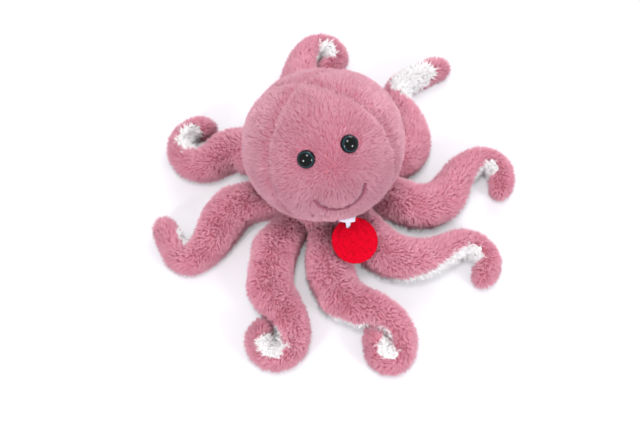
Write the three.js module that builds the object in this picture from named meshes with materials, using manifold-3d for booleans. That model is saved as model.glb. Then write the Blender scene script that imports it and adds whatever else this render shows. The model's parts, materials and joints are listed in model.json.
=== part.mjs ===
import * as THREE from 'three';
import { mergeVertices } from 'three/addons/utils/BufferGeometryUtils.js';
import Module from 'manifold-3d';

// A stuffed plush octopus that sits on its body with eight curled arms round it.
// Millimetres, +Z up, the face looks to -Y, the origin is under the middle of the body on the ground.

const wasm = await Module();
wasm.setup();

// Cloth and clearances that the whole toy shares.
const skinThickness = 2.2;
const gap = 0.3;
const weldTolerance = 0.001;
const restPress = 0.5;

// Head: a stuffed ball of four gores, flatter above the eyes, leaning back and to one side.
const head = {
  radius: 56,
  crownShare: 0.9,
  across: 2,
  back: 4,
  lowest: 30,
  recline: 29,
  roll: 19.5,
  rollAxisRise: 62,
  fillingPlay: 2.4,
  rows: 10,
};
const gores = [
  { name: 'head_face_panel', from: -52, to: 52, columns: 5 },
  { name: 'head_right_panel', from: 52, to: 128, columns: 4 },
  { name: 'head_back_panel', from: 128, to: 232, columns: 5 },
  { name: 'head_left_panel', from: 232, to: 308, columns: 4 },
];

// Eyes: a domed button with a stem through the face and a lock washer inside.
const eye = {
  radius: 6,
  dome: 4.2,
  rim: 1,
  stemRadius: 1.6,
  stemLength: 9,
  washerRadius: 6,
  washerThickness: 1.4,
  sink: 0.8,
  clothPlay: 1.9,
  spread: 18,
  rise: 23,
  segments: 16,
  domeSteps: 2,
};

// Mouth: one raised line of stitches, as [turn from the nose line, rise] on the head.
const mouth = { threadRadius: 0.8, steps: 14, sides: 6 };
const mouthLine = [[-21, -13], [-18, -22], [-8, -29.5], [6, -29.5], [16, -21], [19, -13]];

// Body: the short cone under the head, with a ball seat for every arm.
const body = {
  footRadius: 33,
  wallRadius: 36.5,
  wallHeight: 12.5,
  wallSwell: 0.5,
  shoulderRadius: 30.5,
  shoulderHeight: 28,
  neckRadius: 29,
  neckHeight: 46,
  cavityRadius: 20,
  cavityTop: 24,
  cavityNeckRadius: 14,
  seatGap: 0.6,
  basePanelThickness: 1.8,
  segments: 24,
  seatSegments: 14,
};

// Arms: every arm swells from a ball at the body and tapers to a round tip.
const arm = {
  reach: 175,
  seatRadius: 37,
  ballRadius: 12.5,
  seatPlay: 0.8,
  rootHalfWidth: 16.2,
  rootBack: 17.2,
  rootSole: 11,
  tipHalfWidth: 9.2,
  tipBack: 8.2,
  tipSole: 5.8,
  tipRadius: 8.6,
  swellStart: 5,
  swellLength: 18,
  taperStart: 36,
  taperEnd: 24,
  soleStart: 19,
  soleEnd: 11,
  soleRounding: 12,
  soleEndShare: 0.4,
  roundSeamGap: 2.2,
  longestBand: 20,
  sharpestBand: 30,
  steepestRoll: 17,
  ballBands: 2,
  tipBands: 2,
  backColumns: 8,
  soleColumns: 4,
  fillingColumns: 6,
  fillingPlay: 2.2,
  endFillingPlay: 4.6,
  fillingPlayShare: 0.35,
};

// The arms, named clockwise from the one behind the head. Each has its seat angle, how much of
// its reach is drawn out, the bends of its line as [share of that, turn], and how far and where it
// rolls on its side.
const arms = [
  {
    name: 'arm_1', seat: 97, reachShare: 0.975, roll: 85, rollShares: [0.36, 0.72],
    bendShares: [[0.318, 9], [0.359, -43], [0.323, -252]],
  },
  {
    name: 'arm_2', seat: 52, reachShare: 0.997, roll: 120, rollShares: [0.42, 0.76],
    bendShares: [[0.12, -65], [0.105, 19], [0.148, 79], [0.201, 31], [0.204, -82], [0.222, -13]],
  },
  {
    name: 'arm_3', seat: 7, reachShare: 0.949, roll: 76, rollShares: [0.36, 0.72],
    bendShares: [[0.125, -46], [0.143, 30], [0.13, 45], [0.131, 32], [0.192, -42], [0.179, -129], [0.1, 8]],
  },
  {
    name: 'arm_4', seat: -38, reachShare: 0.869, roll: 85, rollShares: [0.2, 0.68],
    bendShares: [[0.105, -34], [0.195, 51], [0.323, 61], [0.065, -24], [0.245, -135], [0.067, -8]],
  },
  {
    name: 'arm_5', seat: -83, reachShare: 0.941, roll: 85, rollShares: [0.26, 0.66],
    bendShares: [
      [0.216, -1], [0.236, 68], [0.049, 1], [0.15, -46],
      [0.109, -47], [0.125, -151], [0.115, 5],
    ],
  },
  {
    name: 'arm_6', seat: -128, reachShare: 0.907, roll: 85, rollShares: [0.32, 0.7],
    bendShares: [[0.158, 9], [0.188, 44], [0.138, 23], [0.167, -33], [0.349, -246]],
  },
  {
    name: 'arm_7', seat: -173, reachShare: 0.78, roll: 70, rollShares: [0.24, 0.64],
    bendShares: [[0.111, -11], [0.13, 44], [0.175, 28], [0.215, -23], [0.138, -110], [0.231, 6]],
  },
  {
    name: 'arm_8', seat: 142, reachShare: 0.841, roll: 88, rollShares: [0.24, 0.62],
    bendShares: [[0.126, 4], [0.144, 11], [0.166, 75], [0.377, -170], [0.187, -88]],
  },
];

// Swing tag: a felt disc on a ribbon loop that is sewn into the neck seam between two arms.
const tag = {
  radius: 17.8,
  thickness: 1.6,
  holeRadius: 2.2,
  holeInset: 5.5,
  heading: -64,
  distance: 61,
  height: 40.2,
  slope: 20,
  loopWidth: 2.6,
  loopThickness: 0.7,
  seamHeight: 33,
  segments: 28,
};

const colours = {
  plush: 0xcf7f95,
  faceplush: 0xd88fa6,
  sole: 0xf2eeec,
  filling: 0xf7f5f0,
  eye: 0x0a0d0f,
  washer: 0xe6e6e2,
  thread: 0x8a4a5e,
  felt: 0xd81e3a,
  ribbon: 0xf4f4f6,
};

const radians = (degrees) => THREE.MathUtils.degToRad(degrees);
const xAxis = new THREE.Vector3(1, 0, 0);
const zAxis = new THREE.Vector3(0, 0, 1);

// Eases from 0 to 1 with level ends.
function ease(share) {
  return THREE.MathUtils.smoothstep(share, 0, 1);
}

function material(colour, roughness, metalness = 0) {
  return new THREE.MeshStandardMaterial({ color: colour, roughness, metalness });
}

function namedMesh(name, geometry, surface) {
  geometry.computeVertexNormals();
  const mesh = new THREE.Mesh(geometry, surface);
  mesh.name = name;
  return mesh;
}

// Shares vertices, drops flat triangles and pairs that lie back to back, and faces the rest outward.
function closedGeometry(points) {
  const loose = new THREE.BufferGeometry().setFromPoints(points);
  const welded = mergeVertices(loose, weldTolerance);
  const faces = new Map();
  const index = welded.index.array;
  for (let i = 0; i < index.length; i += 3) {
    const face = [index[i], index[i + 1], index[i + 2]];
    const flat = face[0] === face[1] || face[1] === face[2] || face[2] === face[0];
    if (flat) continue;
    const key = [...face].sort((a, b) => a - b).join();
    if (faces.has(key)) faces.delete(key);
    else faces.set(key, face);
  }
  const kept = [...faces.values()];
  const place = welded.attributes.position;
  const corner = (i) => new THREE.Vector3().fromBufferAttribute(place, i);
  let volume = 0;
  for (const [a, b, c] of kept) volume += corner(a).dot(corner(b).cross(corner(c)));
  const outward = volume > 0 ? kept : kept.map(([a, b, c]) => [a, c, b]);
  welded.setIndex(outward.flat());
  return welded;
}

// Splits a four-sided face along its shorter diagonal.
function addQuad(points, a, b, c, d) {
  if (a.distanceTo(c) <= b.distanceTo(d)) points.push(a, b, c, a, c, d);
  else points.push(a, b, d, b, c, d);
}

// A sheet with thickness, between an outer and an inner surface given by row and column.
function thickSheet(outer, inner, rows, columns) {
  const points = [];
  for (let i = 0; i < rows; i += 1) {
    for (let j = 0; j < columns; j += 1) {
      addQuad(points, outer(i, j), outer(i + 1, j), outer(i + 1, j + 1), outer(i, j + 1));
      addQuad(points, inner(i, j), inner(i, j + 1), inner(i + 1, j + 1), inner(i + 1, j));
    }
    addQuad(points, outer(i, 0), inner(i, 0), inner(i + 1, 0), outer(i + 1, 0));
    addQuad(points, outer(i, columns), outer(i + 1, columns), inner(i + 1, columns), inner(i, columns));
  }
  for (let j = 0; j < columns; j += 1) {
    addQuad(points, outer(0, j), outer(0, j + 1), inner(0, j + 1), inner(0, j));
    addQuad(points, outer(rows, j), inner(rows, j), inner(rows, j + 1), outer(rows, j + 1));
  }
  return closedGeometry(points);
}

// A stuffed tube whose first and last rows shrink to points.
function stuffedTube(point, rows, columns) {
  const points = [];
  for (let i = 0; i < rows; i += 1) {
    for (let j = 0; j < columns; j += 1) {
      addQuad(points, point(i, j), point(i + 1, j), point(i + 1, j + 1), point(i, j + 1));
    }
  }
  return closedGeometry(points);
}

function toSolid(geometry) {
  const bare = new THREE.BufferGeometry();
  bare.setAttribute('position', geometry.attributes.position.clone());
  if (geometry.index) bare.setIndex(geometry.index.clone());
  const welded = mergeVertices(bare, weldTolerance);
  return new wasm.Manifold(new wasm.Mesh({
    numProp: 3,
    vertProperties: new Float32Array(welded.attributes.position.array),
    triVerts: new Uint32Array(welded.index.array),
  }));
}

function toGeometry(solid) {
  const mesh = solid.getMesh();
  const geometry = new THREE.BufferGeometry();
  geometry.setAttribute('position', new THREE.BufferAttribute(new Float32Array(mesh.vertProperties), 3));
  geometry.setIndex(new THREE.BufferAttribute(new Uint32Array(mesh.triVerts), 1));
  return geometry;
}

function cut(geometry, cutters) {
  return toGeometry(cutters.reduce((solid, cutter) => solid.subtract(toSolid(cutter)), toSolid(geometry)));
}

// A turned piece about +Z from [radius, height] points that start and end on the axis.
function turned(profile, segments) {
  const points = profile.map(([radius, height]) => new THREE.Vector2(radius, height));
  return new THREE.LatheGeometry(points, segments).rotateX(Math.PI / 2);
}

// Head

const leanAxis = headDirection(0, head.rollAxisRise);
const headTurn = new THREE.Quaternion().setFromAxisAngle(leanAxis, radians(head.roll))
  .multiply(new THREE.Quaternion().setFromAxisAngle(xAxis, -radians(head.recline)));

// The way out from the head's middle, turned from the face and raised by two angles.
function headDirection(turn, rise) {
  const level = Math.cos(radians(rise));
  const across = level * Math.sin(radians(turn));
  const forward = level * Math.cos(radians(turn));
  return new THREE.Vector3(across, -forward, Math.sin(radians(rise)));
}

// A point of the head's own frame at a depth under its cloth.
function headPoint(turn, rise, depth) {
  const place = headDirection(turn, rise).multiplyScalar(head.radius - depth);
  if (place.z > 0) place.z *= head.crownShare;
  return place;
}

const headCentre = new THREE.Vector3(head.across, head.back, head.lowest + head.radius);

// Leans the head back and to its side, and sets it in its place on the neck.
function headPlace(mesh) {
  mesh.quaternion.copy(headTurn);
  mesh.position.copy(headCentre);
  return mesh;
}

// One gore of cloth from the neck to the crown, drawn back from its seams by half a gap.
function goreGeometry(gore) {
  const middle = (gore.from + gore.to) / 2;
  const spread = (gore.to - gore.from) / 2;
  const shift = headDirection(middle, 0).multiplyScalar(gap / 2 / Math.sin(radians(spread)));
  const surface = (depth) => (i, j) => {
    const rise = -90 + (180 * i) / head.rows;
    const turn = gore.from + ((gore.to - gore.from) * j) / gore.columns;
    return headPoint(turn, rise, depth).add(shift);
  };
  return thickSheet(surface(0), surface(skinThickness), head.rows, gore.columns);
}

// Turns a piece made along +Z so that it stands on the head at the given angles.
function onHead(geometry, turn, rise, height) {
  const outward = headDirection(turn, rise);
  const seat = headPoint(turn, rise, 0).addScaledVector(outward, height);
  const upright = new THREE.Quaternion().setFromUnitVectors(zAxis, outward);
  return geometry.applyQuaternion(upright).translate(seat.x, seat.y, seat.z);
}

// A button eye about +Z, with its rim on the cloth and its stem below.
function eyeGeometry() {
  const bulge = new THREE.Path().absellipse(0, eye.rim, eye.radius, eye.dome, 0, Math.PI / 2);
  const dome = bulge.getPoints(eye.domeSteps).map((p) => [p.x, p.y]);
  dome[dome.length - 1][0] = 0;
  return turned([
    [0, -eye.stemLength],
    [eye.stemRadius, -eye.stemLength],
    [eye.stemRadius, 0],
    [eye.radius - eye.rim / 2, 0],
    ...dome,
  ], eye.segments);
}

// The lock washer that grips the stem behind the cloth.
function washerGeometry() {
  const bore = eye.stemRadius + gap;
  return turned([
    [bore, 0],
    [eye.washerRadius, 0],
    [eye.washerRadius, eye.washerThickness],
    [bore, eye.washerThickness],
    [bore, 0],
  ], eye.segments);
}

// The room that the stem takes in the cloth, or the stem with its washer in the filling.
function stemRoom(radius, reach) {
  return new THREE.CylinderGeometry(radius, radius, reach, eye.segments).rotateX(Math.PI / 2);
}

const washerDepth = skinThickness + eye.clothPlay + eye.washerThickness;

function headMeshes() {
  const sides = [['right', eye.spread], ['left', -eye.spread]];
  const clothHoles = sides.flatMap(([, turn]) => [
    onHead(stemRoom(eye.stemRadius + gap, 2 * washerDepth), turn, eye.rise, 0),
    onHead(stemRoom(eye.radius + gap, 2 * eye.dome), turn, eye.rise, eye.dome - eye.sink),
  ]);
  const cloth = material(colours.faceplush, 0.95);
  const panels = gores.map((gore) => {
    const panel = goreGeometry(gore);
    const holed = gore === gores[0] ? cut(panel, clothHoles) : panel;
    return namedMesh(gore.name, holed, cloth.clone());
  });
  const pockets = sides.flatMap(([, turn]) => [
    onHead(stemRoom(eye.washerRadius + gap, 2 * (washerDepth + gap)), turn, eye.rise, 0),
    onHead(stemRoom(eye.stemRadius + gap, 2 * (eye.stemLength + eye.sink + gap)), turn, eye.rise, 0),
  ]);
  const filling = namedMesh('head_filling', cut(headFillingBall(), pockets), material(colours.filling, 1));
  const eyes = sides.flatMap(([side, turn]) => {
    const button = onHead(eyeGeometry(), turn, eye.rise, gap - eye.sink);
    const washer = onHead(washerGeometry(), turn, eye.rise, -washerDepth);
    return [
      namedMesh(`eye_${side}`, button, material(colours.eye, 0.05)),
      namedMesh(`eye_washer_${side}`, washer, material(colours.washer, 0.5)),
    ];
  });
  const stitches = namedMesh('mouth_embroidery', mouthGeometry(), material(colours.thread, 0.8));
  return [...panels, filling, ...eyes, stitches].map(headPlace);
}

// The stuffing of the head, a play inside its cloth.
function headFillingBall() {
  const columns = 2 * head.rows;
  const depth = skinThickness + head.fillingPlay;
  const ball = (i, j) => headPoint((360 * j) / columns, -90 + (180 * i) / head.rows, depth);
  return stuffedTube(ball, head.rows, columns);
}

// The line of stitches, raised clear of the cloth.
function mouthGeometry() {
  const height = gap + mouth.threadRadius;
  const line = new THREE.CatmullRomCurve3(mouthLine.map(([turn, rise]) => headPoint(turn, rise, -height)));
  const section = new THREE.Shape();
  section.absarc(0, 0, mouth.threadRadius, 0, 2 * Math.PI);
  return new THREE.ExtrudeGeometry(section, {
    steps: mouth.steps, extrudePath: line, bevelEnabled: false, curveSegments: mouth.sides / 2,
  });
}

// Body

const hingeHeight = arm.ballRadius - restPress;

// The middle of an arm's ball.
function seatPoint(armData) {
  const angle = radians(armData.seat);
  return new THREE.Vector3(arm.seatRadius * Math.cos(angle), arm.seatRadius * Math.sin(angle), hingeHeight);
}

// A ball drawn round its true size, so that its flats clear the ball inside.
function ballCutter(centre, radius, segments) {
  const round = radius / Math.cos(Math.PI / segments);
  return new THREE.SphereGeometry(round, segments, segments / 2).translate(centre.x, centre.y, centre.z);
}

// The cloth cone with its base panel and stuffing, hollowed for the head and for every arm's ball.
function bodyMeshes() {
  const headSeat = ballCutter(headCentre, head.radius + body.seatGap, body.segments);
  const seatRadius = arm.ballRadius + arm.seatPlay;
  const armSeats = arms.map((data) => ballCutter(seatPoint(data), seatRadius, body.seatSegments));
  const wallMiddle = (body.wallRadius + body.shoulderRadius) / 2 + body.wallSwell;
  const outside = turned([
    [0, 0],
    [body.footRadius, 0],
    [body.wallRadius - gap, body.wallHeight / 2],
    [body.wallRadius, body.wallHeight],
    [wallMiddle, (body.wallHeight + body.shoulderHeight) / 2],
    [body.shoulderRadius, body.shoulderHeight],
    [body.neckRadius, (body.shoulderHeight + body.neckHeight) / 2],
    [body.neckRadius, body.neckHeight],
    [0, body.neckHeight],
  ], body.segments);
  const cavity = turned([
    [0, 0],
    [body.cavityRadius, 0],
    [body.cavityRadius, body.cavityTop / 2],
    [body.cavityNeckRadius, body.cavityTop],
    [0, body.cavityTop],
  ], body.segments);
  const opening = turned([
    [0, -body.basePanelThickness],
    [body.cavityRadius, -body.basePanelThickness],
    [body.cavityRadius, body.basePanelThickness],
    [0, body.basePanelThickness],
  ], body.segments);
  const skin = cut(outside, [headSeat, ...armSeats, cavity, opening]);
  const room = body.cavityRadius - gap;
  const panel = turned([
    [0, 0], [room, 0], [room, body.basePanelThickness], [0, body.basePanelThickness],
  ], body.segments);
  const fillingFoot = body.basePanelThickness + gap;
  const filling = turned([
    [0, fillingFoot],
    [room, fillingFoot],
    [room, body.cavityTop / 2 - gap],
    [body.cavityNeckRadius - gap, body.cavityTop - gap],
    [0, body.cavityTop - gap],
  ], body.segments);
  return [
    namedMesh('body_skin', skin, material(colours.plush, 0.95)),
    namedMesh('body_base_panel', panel, material(colours.sole, 0.95)),
    namedMesh('body_filling', filling, material(colours.filling, 1)),
  ];
}

// Arms

// The length of an arm's line from the middle of its ball to its tip.
function lineLength(data) {
  return arm.reach * data.reachShare;
}

// Half width, back height and sole depth at a distance from the inner end of the ball.
function armSection(data, distance) {
  const swell = ease((distance - arm.ballRadius - arm.swellStart) / arm.swellLength);
  const end = arm.ballRadius + lineLength(data);
  const taperRun = lineLength(data) - arm.taperStart - arm.taperEnd;
  const taper = ease((distance - arm.ballRadius - arm.taperStart) / taperRun);
  const size = (root, tip) => arm.ballRadius + (root - arm.ballRadius) * swell - (root - tip) * taper;
  return {
    width: size(arm.rootHalfWidth, arm.tipHalfWidth),
    back: size(arm.rootBack, arm.tipBack),
    sole: size(arm.rootSole, arm.tipSole),
    end,
  };
}

// How far a round end has closed at a distance from it.
function roundEnd(distance, radius) {
  const short = THREE.MathUtils.clamp(1 - distance / radius, 0, 1);
  return Math.sqrt(1 - short ** 2);
}

// How far an arm has rolled on its side at a distance from the inner end of its ball.
function rollAt(data, distance) {
  const along = (distance - arm.ballRadius) / lineLength(data);
  const [rollFrom, rollTo] = data.rollShares;
  return data.roll * ease((along - rollFrom) / (rollTo - rollFrom));
}

// The distances along an arm where a ring is set: close together in the ball, the bends and the tip.
function ringDistances(data) {
  const distances = [];
  for (let i = 0; i < arm.ballBands; i += 1) {
    distances.push(arm.ballRadius * (1 - Math.cos((i / arm.ballBands) * (Math.PI / 2))));
  }
  let start = arm.ballRadius;
  for (const [share, turn] of data.bendShares) {
    const length = share * lineLength(data);
    const rolled = rollAt(data, start + length) - rollAt(data, start);
    const wanted = [length / arm.longestBand, Math.abs(turn) / arm.sharpestBand, rolled / arm.steepestRoll];
    const bands = Math.max(1, Math.round(Math.max(...wanted)));
    for (let i = 0; i < bands; i += 1) distances.push(start + (length * i) / bands);
    start += length;
  }
  const tipStart = start - arm.tipRadius;
  const body = distances.filter((distance) => distance < tipStart - arm.tipRadius / 2);
  for (let i = 0; i <= arm.tipBands; i += 1) {
    body.push(tipStart + arm.tipRadius * Math.sin((i / arm.tipBands) * (Math.PI / 2)));
  }
  return body;
}

// The heading and the flat place of an arm's line at a distance from the inner end of its ball.
function armLine(data, distance) {
  let heading = radians(data.seat);
  const start = arm.seatRadius - arm.ballRadius;
  const place = new THREE.Vector2(start * Math.cos(heading), start * Math.sin(heading));
  const bends = data.bendShares.map(([share, turn]) => [share * lineLength(data), radians(turn)]);
  let left = distance;
  for (const [length, turn] of [[arm.ballRadius, 0], ...bends]) {
    const run = Math.min(left, length);
    const bend = (turn * run) / length;
    const chord = bend === 0 ? run : (run * Math.sin(bend / 2)) / (bend / 2);
    place.x += chord * Math.cos(heading + bend / 2);
    place.y += chord * Math.sin(heading + bend / 2);
    heading += bend;
    left -= run;
  }
  return { heading, place };
}

// One ring of an arm: its middle, the way it faces, its size and how wide the white sole is there.
function armRing(data, distance) {
  const { heading, place } = armLine(data, distance);
  const roll = radians(rollAt(data, distance));
  const right = new THREE.Vector3(Math.sin(heading), -Math.cos(heading), 0);
  const up = right.clone().multiplyScalar(-Math.sin(roll)).addScaledVector(zAxis, Math.cos(roll));
  const side = up.clone().cross(new THREE.Vector3(Math.cos(heading), Math.sin(heading), 0));
  const size = armSection(data, distance);
  const lowest = Math.max(
    Math.hypot(size.width * side.z, size.sole * up.z),
    up.z < 0 ? Math.hypot(size.width * side.z, size.back * up.z) : 0,
  );
  const soleRun = Math.min(distance - arm.soleStart, size.end - arm.soleEnd - distance);
  return {
    distance,
    side,
    up,
    size,
    centre: new THREE.Vector3(place.x, place.y, lowest - restPress),
    opening: soleRun <= 0 ? 0 : 90 * roundEnd(soleRun, arm.soleRounding),
  };
}

// A point of a ring at an angle from its back, at a depth under the cloth.
function ringPoint(ring, angle, depth) {
  const { size } = ring;
  const nearStart = roundEnd(ring.distance - depth, arm.ballRadius - depth);
  const nearEnd = roundEnd(size.end - ring.distance - depth, arm.tipRadius - depth);
  const close = Math.min(nearStart, nearEnd);
  const across = (size.width - depth) * Math.sin(radians(angle)) * close;
  const rise = Math.cos(radians(angle));
  const lift = ((rise > 0 ? size.back : size.sole) - depth) * rise * close;
  const point = ring.centre.clone().addScaledVector(ring.side, across).addScaledVector(ring.up, lift);
  point.z = Math.max(point.z, depth);
  return point;
}

// The rings of the cloth's inner face and the filling start and end inside the outer ones.
function ringsAt(data, distances, depth) {
  const end = arm.ballRadius + lineLength(data);
  const shrink = (end - 2 * depth) / end;
  return distances.map((distance) => armRing(data, depth + distance * shrink));
}

// The pink back, the white sole and the stuffing of one arm.
function armMeshes(data) {
  const distances = withSoleEnds(data, ringDistances(data));
  const outside = ringsAt(data, distances, 0);
  const inside = ringsAt(data, distances, skinThickness);
  const rows = distances.length - 1;
  const backAngle = (i, j) => (180 - outside[i].opening) * ((2 * j) / arm.backColumns - 1);
  const back = thickSheet(
    (i, j) => ringPoint(outside[i], backAngle(i, j), 0),
    (i, j) => ringPoint(inside[i], backAngle(i, j), skinThickness),
    rows,
    arm.backColumns,
  );
  return [
    namedMesh(`${data.name}_back`, back, material(colours.plush, 0.95)),
    namedMesh(`${data.name}_sole`, soleGeometry(outside, inside), material(colours.sole, 0.95)),
    namedMesh(`${data.name}_filling`, fillingGeometry(inside, rows), material(colours.filling, 1)),
  ];
}

// Puts a ring exactly where the white sole starts and ends.
function withSoleEnds(data, distances) {
  const end = arm.ballRadius + lineLength(data) - arm.soleEnd;
  const clear = arm.soleRounding / 4;
  const kept = distances.filter((d) => Math.abs(d - arm.soleStart) > clear && Math.abs(d - end) > clear);
  return [...kept, arm.soleStart, arm.soleStart + arm.soleRounding / 2, end].sort((a, b) => a - b);
}

// The sole fills the opening of the back, a gap inside its edges, from one round end to the other.
function soleGeometry(outside, inside) {
  const open = outside.map((ring, i) => (ring.opening > 0 ? i : -1)).filter((i) => i >= 0);
  const first = open[0] - 1;
  const last = open[open.length - 1] + 1;
  const stops = [first + arm.soleEndShare, ...open, last - arm.soleEndShare];
  const surface = (rings, depth) => (i, j) => {
    const low = Math.min(Math.floor(stops[i]), last - 1);
    const share = stops[i] - low;
    const at = (k) => {
      const ring = rings[k];
      const seam = outside[k].opening < 90 ? arm.roundSeamGap : gap;
      const play = THREE.MathUtils.radToDeg(seam / ring.size.width);
      const reach = Math.max(outside[k].opening - play, 0);
      return ringPoint(ring, 180 + reach * ((2 * j) / arm.soleColumns - 1), depth);
    };
    return at(low).lerp(at(low + 1), share);
  };
  return thickSheet(surface(outside, 0), surface(inside, skinThickness), stops.length - 1, arm.soleColumns);
}

// How far the stuffing stays off its cloth: more where the cloth closes, less where the arm is thin.
function fillingPlay(ring) {
  const wanted = ring.opening < 90 ? arm.endFillingPlay : arm.fillingPlay;
  return Math.min(wanted, arm.fillingPlayShare * (ring.size.sole - skinThickness));
}

// The stuffing of an arm.
function fillingGeometry(inside, rows) {
  const angle = (j) => (360 * j) / arm.fillingColumns;
  const point = (i, j) => ringPoint(inside[i], angle(j), skinThickness + fillingPlay(inside[i]));
  return stuffedTube(point, rows, arm.fillingColumns);
}

// Swing tag

// A point at a distance from the tag's middle towards the neck and above its face, in the plane
// that runs from the body's axis through the tag.
function tagPoint(inward, above) {
  const slope = radians(tag.slope);
  return new THREE.Vector3(
    tag.distance - inward * Math.cos(slope) + above * Math.sin(slope),
    0,
    tag.height + inward * Math.sin(slope) + above * Math.cos(slope),
  );
}

// The felt disc and its ribbon.
function tagMeshes() {
  const outline = new THREE.Shape();
  outline.absarc(0, 0, tag.radius, 0, 2 * Math.PI);
  const hole = new THREE.Path();
  hole.absarc(tag.holeInset - tag.radius, 0, tag.holeRadius, 0, 2 * Math.PI);
  outline.holes.push(hole);
  const middle = tagPoint(0, 0);
  const felt = new THREE.ExtrudeGeometry(outline, {
    depth: tag.thickness, bevelEnabled: false, curveSegments: tag.segments / 2,
  }).translate(0, 0, -tag.thickness / 2).rotateY(radians(tag.slope)).translate(middle.x, middle.y, middle.z);
  const pieces = [
    namedMesh('tag_disc', felt, material(colours.felt, 0.9)),
    namedMesh('tag_loop', loopGeometry(), material(colours.ribbon, 0.6)),
  ];
  for (const piece of pieces) piece.rotation.z = radians(tag.heading);
  return pieces;
}

// The ribbon leaves the seam, passes over the tag's edge, down through the hole and back below.
function loopGeometry() {
  const clear = tag.thickness / 2 + tag.loopThickness + gap;
  const edge = tag.radius + gap;
  const turnAt = tag.radius - tag.holeInset;
  const seam = (rise) => new THREE.Vector3(body.shoulderRadius + gap / 2, 0, tag.seamHeight + rise);
  const line = new THREE.CatmullRomCurve3([
    seam(tag.loopThickness),
    tagPoint(edge, clear),
    tagPoint(turnAt + tag.holeRadius / 2, clear),
    tagPoint(turnAt, 0),
    tagPoint(turnAt + tag.holeRadius / 2, -clear),
    tagPoint(edge, -clear),
    seam(-tag.loopThickness),
  ]);
  const width = tag.loopWidth / 2;
  const thickness = tag.loopThickness / 2;
  const section = new THREE.Shape([
    new THREE.Vector2(-width, -thickness),
    new THREE.Vector2(width, -thickness),
    new THREE.Vector2(width, thickness),
    new THREE.Vector2(-width, thickness),
  ]);
  return new THREE.ExtrudeGeometry(section, { steps: tag.segments, extrudePath: line, bevelEnabled: false });
}

const octopus = new THREE.Group();
octopus.add(...headMeshes(), ...bodyMeshes(), ...arms.flatMap(armMeshes), ...tagMeshes());

export default octopus;
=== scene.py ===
"""A stuffed plush octopus with a deep pile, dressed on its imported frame.

Lengths are in metres, +Z is up, the face looks towards -Y and the origin lies under the body.
"""

import json
import logging
import math
import random
from dataclasses import dataclass
from enum import Enum
from typing import Callable, Iterable, Optional, Sequence

import bmesh
import bpy
from mathutils import Matrix, Vector
from mathutils.bvhtree import BVHTree
from mathutils.kdtree import KDTree

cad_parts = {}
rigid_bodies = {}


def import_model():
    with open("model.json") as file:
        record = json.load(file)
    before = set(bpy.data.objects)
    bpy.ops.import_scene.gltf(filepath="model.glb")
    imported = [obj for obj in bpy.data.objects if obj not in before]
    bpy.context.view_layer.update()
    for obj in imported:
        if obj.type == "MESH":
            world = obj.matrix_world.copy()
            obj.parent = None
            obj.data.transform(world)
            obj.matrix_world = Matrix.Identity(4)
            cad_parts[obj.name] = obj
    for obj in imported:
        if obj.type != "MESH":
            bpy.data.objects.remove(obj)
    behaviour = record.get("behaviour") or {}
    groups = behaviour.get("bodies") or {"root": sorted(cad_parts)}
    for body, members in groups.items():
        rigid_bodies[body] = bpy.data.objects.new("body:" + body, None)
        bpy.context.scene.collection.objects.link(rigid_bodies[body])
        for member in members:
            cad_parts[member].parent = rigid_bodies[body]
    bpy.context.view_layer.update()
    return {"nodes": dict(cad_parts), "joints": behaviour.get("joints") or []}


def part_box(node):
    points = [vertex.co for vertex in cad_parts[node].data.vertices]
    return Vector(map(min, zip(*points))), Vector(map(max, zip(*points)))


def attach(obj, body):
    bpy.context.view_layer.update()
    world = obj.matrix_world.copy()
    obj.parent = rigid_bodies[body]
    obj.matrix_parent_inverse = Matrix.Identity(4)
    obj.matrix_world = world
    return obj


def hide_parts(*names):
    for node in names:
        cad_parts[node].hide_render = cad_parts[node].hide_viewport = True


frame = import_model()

Colour = tuple[float, float, float, float]
Socket = bpy.types.NodeSocket
NumberAt = Callable[[Vector], float]

MM = 0.001
SQUARE_MM = MM * MM
WELD = 0.01 * MM
BAKE_MAP = "OFBake"
# The shade layer holds painted shade, which deepens the tufts' tone.
GUIDE_LAYERS = ("tone", "cover", "pile", "comb", "shade")
UP = Vector((0, 0, 1))
RIGHT = Vector((1, 0, 0))
PLAIN_WHITE: Colour = (1.0, 1.0, 1.0, 1.0)
NOISE_MIDDLE = 0.5

log = logging.getLogger("plush")


class Slot(Enum):
    """The names of the record's material slots."""

    FACE = "plush_face"
    PINK = "plush_pink"
    WHITE = "plush_white"
    STUFFING = "stuffing"
    EYE = "eye_black"
    THREAD = "thread_mauve"
    FELT = "felt_red"
    RIBBON = "ribbon_white"


class Draw(Enum):
    """What a pile's graph draws by chance, each with its own step from the seed."""

    LEAN = 1
    SPIN = 2
    GROWTH = 3
    TONE = 4


def dye(red: int, green: int, blue: int) -> Colour:
    """Turns a colour as it is seen on a screen into the shader's linear one.

    Args:
        red: Red, from 0 to 255.
        green: Green, from 0 to 255.
        blue: Blue, from 0 to 255.

    Returns:
        The linear colour with full alpha.
    """
    def linear(value: int) -> float:
        """Returns one linear channel."""
        share = value / 255
        return share / 12.92 if share <= 0.04045 else ((share + 0.055) / 1.055) ** 2.4

    return (linear(red), linear(green), linear(blue), 1.0)


def ease(value: float, start: float = 0.0, end: float = 1.0) -> float:
    """Returns how far a value has come from start to end, from 0 to 1 with level ends."""
    held = min(1.0, max(0.0, (value - start) / (end - start)))
    return held * held * (3 - 2 * held)


def mix(first: float, second: float, share: float) -> float:
    """Returns a number that lies a share of the way from the first to the second."""
    return first + (second - first) * share


def nowhere(point: Vector) -> float:
    """Returns 0 at every point."""
    return 0.0


def everywhere(point: Vector) -> float:
    """Returns 1 at every point."""
    return 1.0


# Node graphs


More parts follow.
